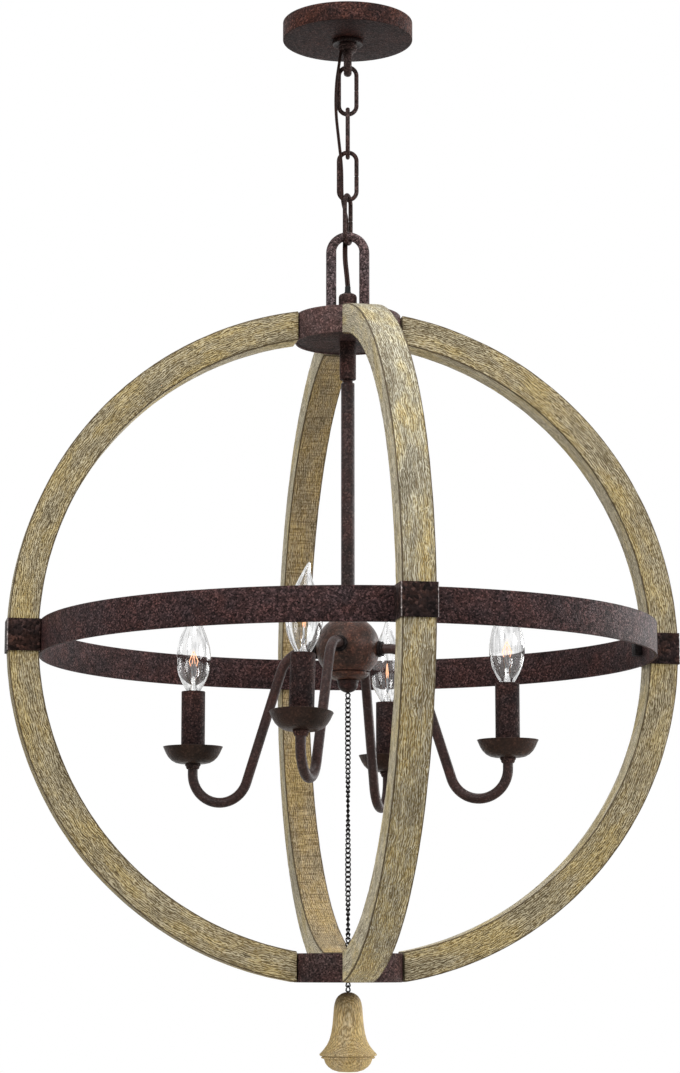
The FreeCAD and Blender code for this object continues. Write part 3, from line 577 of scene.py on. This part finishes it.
# Fine hatching of pale and dark strokes, with ash and honey coloured clouds over it.
limed = stain(wood_in["Pale"], 0.4, paint("f2ead6"))
body = stain(body, mask(between(fine, (0.6, 0.0), (0.7, 0.95)), "Hatch"), limed)
body = stain(body, mask(between(fine, (0.47, 0.95), (0.58, 0.0)), "Hatch"), paint("584a33"))
ashy = mask(between(blotch, (0.52, 0.0), (0.66, 0.85)), "Clouds")
body = stain(body, ashy, (0.8, 0.79, 0.77, 1), "MULTIPLY")
body = stain(body, between(blotch, (0.4, 0.85), (0.54, 0.0)), (1.0, 0.94, 0.73, 1), "MULTIPLY")

# Cuts in the wood: short dark streaks, long lines, and marks of the saw straight across.
short_cuts = mask(between(streaks, (0.34, 0.85), (0.4, 0.0)), "Hatch")
body = stain(body, short_cuts, paint("4a3d29"))
long_cuts = mask(between(long_lines, (0.4, 0.9), (0.5, 0.0)), "Lines")
body = stain(body, long_cuts, paint("6b5b40"))
sawn = maths(timber, "ADD", between(saw, (0.4, 0.8), (0.52, 0.0)),
             between(deep_saw, (0.33, 0.8), (0.4, 0.0)), clamp=True)
saw_cuts = mask(sawn, "Saw Marks")
body = stain(body, saw_cuts, paint("5a4629"))
# Each face is darker in a thin line along its edges.
face_edge_darkening = maths(timber, "MULTIPLY_ADD", grain, 0.12,
                   maths(timber, "ABSOLUTE", wood_in["Across"]), clamp=True)
body = stain(body, spread(timber, face_edge_darkening, 0.96, 0.99, 0.0, 0.9), paint("544735"))
cuts = maths(timber, "MAXIMUM", short_cuts, long_cuts, clamp=True)
cuts = maths(timber, "MAXIMUM", cuts, saw_cuts, clamp=True)
feed(timber, body, wood_out["Color"])
feed(timber, spread(timber, grain, 0.0, 1.0, 0.6, 0.85), wood_out["Roughness"])
feed(timber, maths(timber, "MULTIPLY_ADD", cuts, -1.0, fine), wood_out["Height"])


def wood_shade(name, codes, relief=0.0005, gloss=0.15, **amounts):
    """A shade of the wood, from its pale, middle and deep tones, its relief, its gloss and its amounts."""
    look = look_of(("Pale", "Middle", "Deep"), codes, amounts)
    return finish(name, timber, look, relief, Specular_IOR_Level=gloss)


def rib_wood(name, codes, **amounts):
    """Wood whose grain and edges follow the two maps of a rib."""
    material = wood_shade(name, codes, **amounts)
    tree = material.node_tree
    taken = tree.nodes["effect"].inputs
    grain_map, across_map = (add(tree, "ShaderNodeUVMap", uv_map=label).outputs["UV"]
                             for label in ("grain", "across"))
    across = add(tree, "ShaderNodeSeparateXYZ", [("Vector", across_map)]).outputs
    feed(tree, grain_map, taken["Vector"])
    feed(tree, across["X"], taken["Across"])
    feed(tree, across["Y"], taken["Along"])
    return material


outer_wood = rib_wood("weathered wood outside", "d6d3c0 bbb293 8a7e61", Gold=0.9, Hatch=0.72, Lines=0.7)
inner_wood = rib_wood("weathered wood inside", "d6be8f c2a877 987f55", Saw_Marks=0.6, Lime=0.3, Lines=0.3,
                      Hatch=0.75)
side_wood = rib_wood("weathered wood sides", "c6b88f a9966c 7e6b49", Saw_Marks=0.1, Hatch=0.9)
# A smoother, paler wood, whose paleness is painted light from the side lamps.
planed_wood_painted_side_light = rib_wood("planed wood with painted side light", "f8efd6 e8dcbc c8b993", Clouds=0.3, Hatch=0.7, Lime=0.7, Lines=0.75)
rib_outer, rib_inner, rib_half, orb_middle = 303.6, 277.1, 14.1, -579
rib_mean, half_deep, half_long, hub_face = 290, (rib_outer - rib_inner) / 2, 455, 47.9
face_apart, board_along, board_across, face_lean = 0.08, 1.7, 0.6, 0.7
fine_wear, broad_wear = 0.16, 0.22


def half_hoop(number):
    """A square-cut hoop with its two ends sawn upright where they meet the hubs, and its edges worn."""
    hoop = bmesh.new()
    corners = [(0, side * rib_half, orb_middle + radius) for radius, side in
               ((rib_inner, -1), (rib_outer, -1), (rib_outer, 1), (rib_inner, 1))]
    row = [hoop.verts.new(corner) for corner in corners]
    edges = [hoop.edges.new((row[i], row[(i + 1) % 4])) for i in range(4)]
    bmesh.ops.spin(hoop, geom=row + edges, cent=(0, 0, orb_middle), axis=(0, 1, 0), dvec=(0, 0, 0),
                   angle=math.pi, steps=150, use_duplicate=False, use_merge=False)
    bmesh.ops.bisect_plane(hoop, geom=hoop.verts[:] + hoop.edges[:] + hoop.faces[:], dist=0.0001,
                           plane_co=(hub_face, 0, 0), plane_no=(1, 0, 0), clear_inner=True, clear_outer=False)
    close_ends(hoop)
    bmesh.ops.recalc_face_normals(hoop, faces=hoop.faces[:])
    ease_edges(hoop, 0.9, 3)
    for vert in hoop.verts:
        wear = noise.noise(vert.co * 0.11 + Vector((number * 70.0, 0, 0))) * fine_wear
        wear += noise.noise(vert.co * 0.03 + Vector((0, number * 40.0, 0))) * broad_wear
        spoke = Vector((vert.co.x, 0, vert.co.z - orb_middle))
        vert.co += spoke.normalized() * (-abs(wear) if spoke.length > rib_mean else abs(wear))
        vert.co.y -= math.copysign(abs(wear), vert.co.y)
    map_hoop(hoop, number)
    return hoop


def map_hoop(hoop, number):
    """Lays the grain along a rib, and tells how far each point is across and along it, from -1 to 1."""
    grain_map = hoop.loops.layers.uv.new("grain")
    across_map = hoop.loops.layers.uv.new("across")
    for face in hoop.faces:
        middle = face.calc_center_median()
        lean = face.normal.dot(Vector((middle.x, 0, middle.z - orb_middle)).normalized())
        face.material_index = 1 if lean < -face_lean else 0 if lean > face_lean else 2
        for corner in face.loops:
            x, y, z = corner.vert.co
            bow = math.atan2(z - orb_middle, x) * rib_mean / 1000
            rise = rib_outer - math.hypot(x, z - orb_middle)
            across = y / 1000
            share = y / rib_half
            if lean < -face_lean:
                across = face_apart - across
            elif lean <= face_lean:
                across = math.copysign((rib_half + rise) / 1000, y)
                share = (rise - half_deep) / half_deep
            corner[grain_map].uv = (bow + number * board_along, across + number * board_across)
            corner[across_map].uv = (share, bow * 1000 / half_long)


rib_turns = {"front": -79.4, "right": 10.6, "back": 100.6, "left": 190.6}
for number, (where, angle) in enumerate(rib_turns.items()):
    rib = place(half_hoop(number), turned_about(angle))
    # Faces turned left and right take the pale planed wood, whose paleness is painted light from the side
    # lamps.
    inside, sides = (inner_wood, planed_wood_painted_side_light) if where in ("front", "back") else (planed_wood_painted_side_light, side_wood)
    hang(rib, f"rib {where}", "orb", [outer_wood, inside, sides], [f"rib_{where}"])


# Band: a flat steel strip rolled to a ring inside the ribs. Each rib has a strap bent round it to a closed
# box, and a square-headed bolt goes through the band into the box, its head inside the band.
def joined(maker, places):
    """Copies of one small piece at several places, made one blank."""
    group = bmesh.new()
    for where in places:
        join(group, place(maker(), where))
    return group


band_radius, band_half, band_thick = 275.236, 14.7, 3
clamp_inner, clamp_half_tall, clamp_steel, clamp_thick, corner_from = 276.74, 14.2, 1.4, 1.35, 302
band_iron = iron_shade("pebbled band iron", "1a1314 322728 3f2724", Rust=0.35, Speckle=1.45, Pebble_Size=1.3)
band = tube(band_radius, band_radius - band_thick, orb_middle - band_half, orb_middle + band_half, 300, 0.5)
iron_piece(band, "band", band_iron)


def box_clamp():
    """A strap bent to a box round a rib, open above and below, with a painted highlight on its outer corners.
    """
    clamp = bmesh.new()
    middle = Vector(((clamp_inner + rib_outer) / 2, 0, orb_middle))
    block(clamp, middle, (rib_outer - clamp_inner + 2 * clamp_steel, 2 * (rib_half + clamp_steel),
                          2 * clamp_half_tall))
    ends = [f for f in clamp.faces if abs(f.normal.z) > 0.9]
    bmesh.ops.delete(clamp, geom=ends, context="FACES_ONLY")
    upright = [e for e in clamp.edges if abs(e.verts[0].co.z - e.verts[1].co.z) > 1]
    ease(clamp, upright, 1.5, 4)
    bmesh.ops.recalc_face_normals(clamp, faces=clamp.faces[:])
    out = clamp.faces[0]
    if out.normal.dot(out.calc_center_median() - middle) < 0:
        bmesh.ops.reverse_faces(clamp, faces=clamp.faces[:])
    bmesh.ops.solidify(clamp, geom=clamp.faces[:], thickness=clamp_thick)
    ease_edges(clamp, 0.3, 2, 60)
    # The outer upright corners take a lighter paint, a painted highlight along them.
    for face in clamp.faces:
        at_corner = min(face.normal.x, abs(face.normal.y)) > 0.55
        if at_corner and face.calc_center_median().x > corner_from:
            face.material_index = 1
    return clamp


def square_bolt():
    bolt = bmesh.new()
    block(bolt, (268.74, 0, orb_middle), (7, 11.4, 11.4))
    ease(bolt, bolt.edges[:], 0.6, 2)
    block(bolt, (273.5, 0, orb_middle), (6, 5, 5))
    return bolt


clamp_iron = iron_shade("hammered clamp iron", "120e0f 221918 372118", 0.0007, Rust=0.15, Pebble_Size=0.6,
                        Speckle=1.3)
edge_highlight_iron = iron_shade("painted edge highlight iron", "4c4545 8d8482 7a6c68", 0.0002, Rust=0.0)
bolt_iron = iron_shade("black bolt iron", "0c0a0a 171313 1f1816", 0.0002, Rust=0.1)
for name, maker, node, coats in (("rib clamps", box_clamp, "clamps", [clamp_iron, edge_highlight_iron]),
                                 ("clamp bolts", square_bolt, "clamp_bolts", [bolt_iron])):
    hang(joined(maker, map(turned_about, rib_turns.values())), name, "orb", coats, [node])


# Stem: a coupling under the top hub, a short threaded nipple that shows as a narrow neck, and a plain tube
# down to the ball.
stem_bore = 4.85
iron_piece(tube(stem_bore, 7.5, top_plate_low, -338.02, 64, 0.8, 3), "coupling", dark_iron)
thread_top, thread_low, thread_pitch, thread_turns = -331.5, -352, 1.2, 17
thread = [(0, thread_top)]
for lap in range(thread_turns):
    crest = thread_top - lap * thread_pitch
    thread += [(4.7, crest), (4.2, crest - thread_pitch / 2)]
thread.append((0, thread_low))
hang(lathe(thread, 40), "stem nipple", "orb", [dark_iron], ["stem_nipple"], crease=80)
stem_iron = iron_shade("stem iron", "1b1716 332928 402824", 0.0003, 0.14, Rust=0.25, Polish=0.3, Speckle=0.8)
iron_piece(tube(stem_bore, 6.15, -341.42, -557.35, 64, 0.5, 3), "stem", stem_iron)


# Ball: two spun steel shells that meet at a seam below the middle, with a turned finial under them.
# The arms leave the ball just above the seam.
ball_iron = iron_shade("satin ball iron", "171514 2e2722 492a1f", 0.0002, 0.17, Rust=0.45, Speckle=0.8,
                       Polish=0.6)
ball_radius, ball_middle, shell_from, shell_to, shell_steps = 28.7, -583, 76, -46.5, 40
shell = [(0, -555.2)]
for step in range(shell_steps + 1):
    angle = turn(shell_from + (shell_to - shell_from) * step / shell_steps)
    shell.append((ball_radius * math.cos(angle), ball_middle + ball_radius * math.sin(angle)))
shell += [(19.6, -604.4), (16.5, -604.5), (0, -604.5)]
lower = [(0, -604.3), (16.8, -604.3), (16.8, -605.3), (18.7, -605.4), (19.1, -605.9), (18.8, -607.2),
         (17.7, -608.7), (15.7, -610.2), (12.9, -611.4), (9.5, -612.2), (6.5, -612.5), (0, -612.5)]
iron_piece(lathe(shell, 96), "ball", ball_iron)
iron_piece(lathe(lower, 96), "ball cap", ball_iron)
finial = lathe([(0, 2), (8.6, 2), (8.6, 0), (9.5, -0.4), (9.7, -1.2), (9.5, -2.2), (9.1, -2.6), (9.2, -4),
                (8.9, -5.6), (8.2, -7.2), (7, -8.7), (5.4, -9.9), (3.7, -10.7), (2.3, -11.2), (1, -11.5),
                (0, -11.5)], 64, -612.07)
iron_piece(finial, "finial", collar_iron)


# Arms: four lengths of 9 mm steel tube, each bent down out of the ball, round a wide foot and up into its
# candle. A turned collar covers the joint at the ball. The front arm sits 5.5 degrees higher.
arm_turns = {"front": -105, "right": -15, "back": 75, "left": 165}
arm_lifts = {"front": 5.5, "right": 0, "back": 0, "left": 0}
arm_height, arm_radius, arm_bend, arm_slope, arm_foot = -585, 4.5, 26, 18, 9.6
candle_out, dish_height, shoulder_out = 145, -684, 37.5
arm_iron = iron_shade("satin arm iron", "1c1615 332725 3c2521", 0.0002, 0.15, Rust=0.4, Speckle=0.5,
                      Polish=0.5)


def arm_place(where):
    """From an arm made over the right-hand axis to its own place."""
    about = Matrix.Translation((0, 0, arm_height))
    lift = about @ Matrix.Rotation(turn(-arm_lifts[where]), 4, "Y") @ about.inverted()
    return turned_about(arm_turns[where]) @ lift


def arm_tube():
    """The tube from its candle down, round the foot, up the slope and over the shoulder into the ball."""
    arm, ring = rod_ring(arm_radius, 28, (candle_out, 0, dish_height))
    ring = carry(arm, ring, (0, 0, -arm_foot))
    ring = bend_round(arm, ring, (candle_out - arm_bend, 0, dish_height - arm_foot), 180 - arm_slope, 44)
    middle = sum((v.co for e in ring for v in e.verts), Vector()) / (2 * len(ring))
    centre = Vector((shoulder_out, 0, arm_height - arm_bend))
    slope = Vector((math.cos(turn(arm_slope)), 0, math.sin(turn(arm_slope))))
    ring = carry(arm, ring, centre + arm_bend * slope - middle)
    ring = bend_round(arm, ring, centre, arm_slope - 90, 22)
    carry(arm, ring, (-12, 0, 0))
    close_ends(arm)
    return arm


def arm_collar():
    turned = lathe([(4.5, 0), (7.3, 0), (7.3, 1.7), (5.9, 2), (5.9, 2.8), (6.7, 3.1), (6.7, 4.4),
                    (4.5, 4.4)], 48)
    ease_edges(turned, 0.25, 2)
    return place(turned, Matrix.Translation((28.2, 0, arm_height)) @ Matrix.Rotation(turn(90), 4, "Y"))


for where in arm_turns:
    iron_piece(place(arm_tube(), arm_place(where)), f"arm {where}", arm_iron)
iron_piece(joined(arm_collar, map(arm_place, arm_turns)), "arm collars", bolt_iron)


# Candles: a spun dish on each arm with a nut under it, a straight steel sleeve standing in the dish, and a
# lamp socket inside the sleeve.
def candle_place(where, height=dish_height):
    """From a piece made round the upright axis to its own candle, at a height."""
    return arm_place(where) @ Matrix.Translation((candle_out, 0, height))


def dish():
    return lathe([(5, 0), (12, 0), (15.6, 0.8), (19.2, 2.8), (22.2, 5.8), (24.4, 9.4), (25.9, 12.8),
                  (26.7, 14.5), (27.1, 15.1), (26.9, 15.4), (26.4, 15.2), (25.7, 14.2), (24.4, 11.9),
                  (22.6, 8.8), (20.3, 5.9), (17.6, 3.6), (14.4, 2), (11, 1.2), (5, 1.2)], 72)


def dish_nut():
    nut = lathe([(4.5, 0), (7, 0), (7, -1.8), (6.3, -2.3), (5.9, -4), (5.2, -5), (4.5, -5)], 40)
    ease_edges(nut, 0.2, 2)
    return nut


def sleeve():
    return tube(9.55, 10.75, 1.2, 65.4, 64, 0.4, 3)


dish_iron = iron_shade("dish iron", "191310 2d211b 3b251d", 0.0002, 0.12, Rust=0.2, Speckle=0.45, Polish=0.5)
for where in arm_turns:
    for maker, label, coat in ((dish, "cup", dish_iron), (sleeve, "sleeve", iron)):
        iron_piece(place(maker(), candle_place(where)), f"{label} {where}", coat)
iron_piece(joined(dish_nut, map(candle_place, arm_turns)), "cup nuts", dark_iron)

brass_effect = noise_effect("socket shell", 240.0, 4.0, "8a7a58", "b9a678", (0.25, 0.55))
brass = finish("socket brass", brass_effect, {}, 0.0001, Metallic=0.95)
dress(["sockets"], brass)


# Lamps: clear flame-shaped glass with the tip drawn out and bent over, on a small screw base. Inside, a glass
# mount carries two lead wires and a glowing filament bent like an arrowhead.
glass, glass_tree, glass_surface = new_material("clear lamp glass")
for label, value in {"Transmission Weight": 1.0, "IOR": 1.46, "Metallic": 0.0}.items():
    glass_surface[label].default_value = value
glass_place = own_place(glass_tree)
# The glass colour carries painted reflections: long grey streaks, and darker bands towards its outline where
# it is seen edge-on.
long_place = add(glass_tree, "ShaderNodeMapping", [("Vector", glass_place), ("Scale", (330.0, 330.0, 16.0))])
painted_reflection_streaks = cloudy(glass_tree, long_place.outputs["Vector"], 1.0, 1.0)
facing = add(glass_tree, "ShaderNodeLayerWeight", [("Blend", 0.35)]).outputs["Facing"]
painted_reflection_rims = ramp(glass_tree, facing, (0.0, 0.985), (0.1, 0.955), (0.16, 0.985), (0.28, 0.93), (0.36, 0.62),
            (0.42, 0.52), (0.52, 0.94), (0.9, 0.7))
painted_reflection_tint = layer(glass_tree, ramp(glass_tree, painted_reflection_streaks, (0.36, 0.74), (0.46, 1.0)), 1.0, painted_reflection_rims, "MULTIPLY")
ripple = cloudy(glass_tree, glass_place, 90.0, 1.0)
feed(glass_tree, painted_reflection_tint, glass_surface["Base Color"])
feed(glass_tree, spread(glass_tree, ripple, 0.0, 1.0, 0.0, 0.04), glass_surface["Roughness"])
feed(glass_tree, relief_of(glass_tree, ripple, 0.0002), glass_surface["Normal"])

glow, glow_tree, glow_surface = new_material("glowing filament")
coil = cloudy(glow_tree, own_place(glow_tree), 1400.0, 1.0)
heat = ramp(glow_tree, coil, (0.35, (1, 0.42, 0.23, 1)), (0.6, (1, 0.68, 0.47, 1)))
feed(glow_tree, heat, glow_surface["Emission Color"])
glow_surface["Emission Strength"].default_value = 1.35
glow_surface["Base Color"].default_value = (0.8, 0.3, 0.1, 1)


def strut(blank, start, end, thick):
    """A straight round rod between two points."""
    start, end = Vector(start), Vector(end)
    lie = (end - start).to_track_quat("Z", "Y").to_matrix().to_4x4()
    bmesh.ops.create_cone(blank, cap_ends=True, segments=8, radius1=thick / 2, radius2=thick / 2,
                          depth=(end - start).length, matrix=Matrix.Translation((start + end) / 2) @ lie)


def flame_glass(bent):
    """The bulb of a lamp, with its drawn-out tip bent over towards an angle."""
    bulb = lathe([(0, 0), (5.7, 0), (6.6, 1.2), (8.6, 4.6), (11.2, 9.4), (13.6, 15), (15.1, 21), (15.75, 27),
                  (15.7, 33), (14.9, 39.5), (13.2, 46.5), (10.9, 53), (8.3, 59), (5.9, 64.5), (4, 69.5),
                  (2.7, 74), (1.6, 78), (0.8, 79.7), (0, 80)], 56)
    for vert in bulb.verts:
        over = tip_bend * max(0, (vert.co.z - tip_from) / tip_long) ** 2
        vert.co.x += over * math.cos(turn(bent))
        vert.co.y += over * math.sin(turn(bent))
    return bulb


def screw_base():
    outline = [(0, -26), (2.4, -26), (3.5, -25), (5.4, -22.2)]
    for lap in range(6):
        outline += [(5.9, -21.4 + lap * base_pitch), (5.35, -20.1 + lap * base_pitch)]
    return lathe(outline + [(5.6, -5.4), (5.9, 0), (0, 0)], 40)


def filament():
    """Two legs of coiled wire that meet at the top, hung on lead wires."""
    wires = bmesh.new()
    for side in (-1, 1):
        strut(wires, (side * 4.2, 0, 27.5), (side * 0.3, 0, 36.5), 0.8)
        strut(wires, (side * 4.2, 0, 27.5), (side * lead_out, 0, lead_top), 0.6)
        strut(wires, (side * 1.3, side * 0.6, 25), (side * 0.3, 0, 33), 0.5)
    return wires


def lead_wires():
    """Two leads, two hooks that hold the coil, and the post between them."""
    wires = bmesh.new()
    for side in (-1, 1):
        strut(wires, (side * lead_out, 0, lead_top), (side * 1.2, 0, lead_low), 0.5)
    strut(wires, (0, 0, lead_low), (0, 0, 37), 0.35)
    for side in (-1, 1):
        strut(wires, (side * 1.3, side * 0.6, 25), (side * 0.6, side * 0.3, 12.5), 0.5)
    return wires


def glass_mount():
    return lathe([(0, 0.4), (3.9, 0.4), (3.4, 3), (2.1, 6), (1.7, 9), (1.9, 12), (1.4, 13.4), (0, 13.8)], 32)


lamp_seat, glass_wall, base_pitch = -618.6, 0.0006, 2.6
tip_from, tip_long, tip_bend = 60, 20, 3.4
lead_out, lead_top, lead_low = 2.6, 23, 9
lamp_bends = {"front": 120, "right": 30, "back": 200, "left": 250}
for where, bent in lamp_bends.items():
    for made, label, coat, slot, nodes in (
            (flame_glass(bent), "glass", glass, "clear_glass", [f"lamp_glass_{where}"]),
            (screw_base(), "base", brass, "lamp_metal", [f"lamp_base_{where}"]),
            (filament(), "filament", glow, "lamp_metal", ()),
            (lead_wires(), "lead wires", zinc, "lamp_metal", ()),
            (glass_mount(), "glass mount", glass, "clear_glass", ())):
        place(made, candle_place(where, lamp_seat))
        piece = hang(made, f"lamp {where} {label}", f"lamp_{where}", [coat], nodes)
        if label == "glass":
            wall = piece.modifiers.new("wall", "SOLIDIFY")
            wall.thickness = glass_wall
            wall.offset = -1


# Fine chain: links of round wire, each twisted a quarter turn so that they lie flat with each other, from the
# finial through the bottom hub down to the bell. The chain hangs in a slow twist. The last two links swing
# with the bell.
fine_radius, fine_wire, fine_pull, fine_half = 2.05, 0.68, 0.74, 2.79
fine_first, fine_pitch, fine_twist = 3.25, 4.156, 90


def fine_link():
    """A ring pulled long, its upper half turned one way and its lower half the other."""
    link, ring = rod_ring(fine_wire, 8, (fine_radius, 0, 0))
    spin_round(link, ring + link.verts[:], (0, 0, 0), (0, 1, 0), 18)
    for vert in link.verts:
        if abs(vert.co.z) > 0.1:
            vert.co.z += math.copysign(fine_pull, vert.co.z)
        lean = turn(fine_twist / 2) * min(max(vert.co.z / fine_half, -1), 1)
        vert.co = Matrix.Rotation(lean, 3, "Z") @ vert.co
    return link


def fine_run(top, turns):
    """A length of the fine chain that hangs from a height, each link at its own turn."""
    run, single = bmesh.new(), fine_link()
    for number, angle in enumerate(turns):
        join(run, place(single.copy(), turned_about(angle, top - fine_first - number * fine_pitch)))
    single.free()
    return run


fine_iron = iron_shade("fine chain iron", "080606 110e0d 181110", 0.0001, Rust=0.15, Speckle=0.8)
twist_stops = [(0, -40), (8, 0), (24, 90), (38, 180), (48, 270), (60, 405)]
held_turns = [first + (last - first) * (number - low) / (high - low)
              for (low, first), (high, last) in zip(twist_stops, twist_stops[1:])
              for number in range(low, high)]
held_turns.append(405)
hang(fine_run(-623.43, held_turns), "fine chain", "orb", [fine_iron], ["fine_chain"])
hang(fine_run(-876.73, (45, 45)), "bell links", "bell", [fine_iron], ["bell_chain"])


# Bell: turned from one piece of the same wood, with a domed top, a flared skirt, a double bead at the rim
# and a rounded foot. It hangs on the fine chain as a pull weight would.
bell_outline = [(0, 0), (3, 0.2), (6, 1.3), (8.7, 3.3), (10.6, 6), (11.8, 9.4), (12.5, 13.4), (13, 20),
                (13.7, 28), (14.8, 35), (16.4, 41), (18.6, 45.6), (21.2, 49.2), (23.2, 51.5), (24.4, 52.6),
                (25.1, 53.6), (25.1, 54.4), (24.5, 55), (23, 55.2), (22.8, 55.7), (23.6, 56), (23.7, 56.7),
                (22.8, 57.3), (21.2, 57.6), (20.9, 58.8), (19.8, 61.6), (17.3, 64.6), (13.5, 67.2),
                (8.5, 68.7), (0, 69.2)]
bell = lathe([(radius, -fall) for radius, fall in bell_outline], 96, -887.25)
bell_wood = wood_shade("turned bell wood", "efdaa5 ccad74 937346", 0.0003, 0.35, Lime=0.45, Hatch=0.55,
                       Clouds=0.5)
bell_tree = bell_wood.node_tree
upright_grain = add(bell_tree, "ShaderNodeMapping",
                    [("Vector", own_place(bell_tree)), ("Rotation", (0, turn(90), 0))]).outputs["Vector"]
feed(bell_tree, upright_grain, bell_tree.nodes["effect"].inputs["Vector"])
hang(bell, "bell", "bell", [bell_wood], ["bell"], crease=32)


# Room: a pale floor below the light, five soft lamps at the left, above, overhead, at the right and at the
# back right, and a white surround that only the camera, metal and glass see.
floor_radius, floor_height, lamps_aim = 1.6, -1.35, Vector((0, 0, -0.55))
floor = bmesh.new()
bmesh.ops.create_circle(floor, cap_ends=True, radius=floor_radius, segments=96,
                        matrix=Matrix.Translation((0, 0, floor_height)))
floor_paint, floor_tree, floor_surface = new_material("pale floor")
mottle = cloudy(floor_tree, own_place(floor_tree), 40.0, 4.0)
feed(floor_tree, ramp(floor_tree, mottle, (0.3, paint("cfcdc9")), (0.7, paint("d7d5d1"))),
     floor_surface["Base Color"])
floor_surface["Roughness"].default_value = 0.9
settle(floor, "floor", [floor_paint], 50)

world = bpy.data.worlds.new("white room")
scene.world = world
world.use_nodes = True
room = world.node_tree
rays = add(room, "ShaderNodeLightPath").outputs
seen = maths(room, "MAXIMUM", rays["Is Camera Ray"], rays["Is Glossy Ray"])
seen = maths(room, "MAXIMUM", seen, rays["Is Transmission Ray"])
background = room.nodes["Background"].inputs
background["Color"].default_value = (1, 1, 1, 1)
feed(room, spread(room, seen, 0.0, 1.0, 0.28, 1.0), background["Strength"])

for name, stand, size, power in (("left soft lamp", (-1.8, -2.6, 1.3), 1.4, 60),
                                 ("top soft lamp", (0.3, -1.5, 1.9), 1.6, 31),
                                 ("overhead soft lamp", (0.1, 0.5, 1.9), 1.4, 36),
                                 ("right soft lamp", (2.5, -1.7, 0.3), 1.6, 33),
                                 ("back right lamp", (2.25, 1.4, -0.4), 1.8, 48)):
    data = bpy.data.lights.new(name, "AREA")
    data.shape = "DISK"
    data.size = size
    data.energy = power
    lamp = bpy.data.objects.new(name, data)
    lamp.location = stand
    lamp.rotation_euler = (lamps_aim - Vector(stand)).to_track_quat("-Z", "Y").to_euler()
    scene.collection.objects.link(lamp)

camera_data = bpy.data.cameras.new("camera")
camera_data.sensor_fit = "VERTICAL"
camera_data.sensor_height = 36
camera_data.lens = 92.41
camera = bpy.data.objects.new("camera", camera_data)
camera.location = (-0.0071, -2.452, -0.867)
camera.rotation_euler = (turn(98.92), 0, 0)
scene.collection.objects.link(camera)
scene.camera = camera
scene.view_settings.view_transform = "Standard"
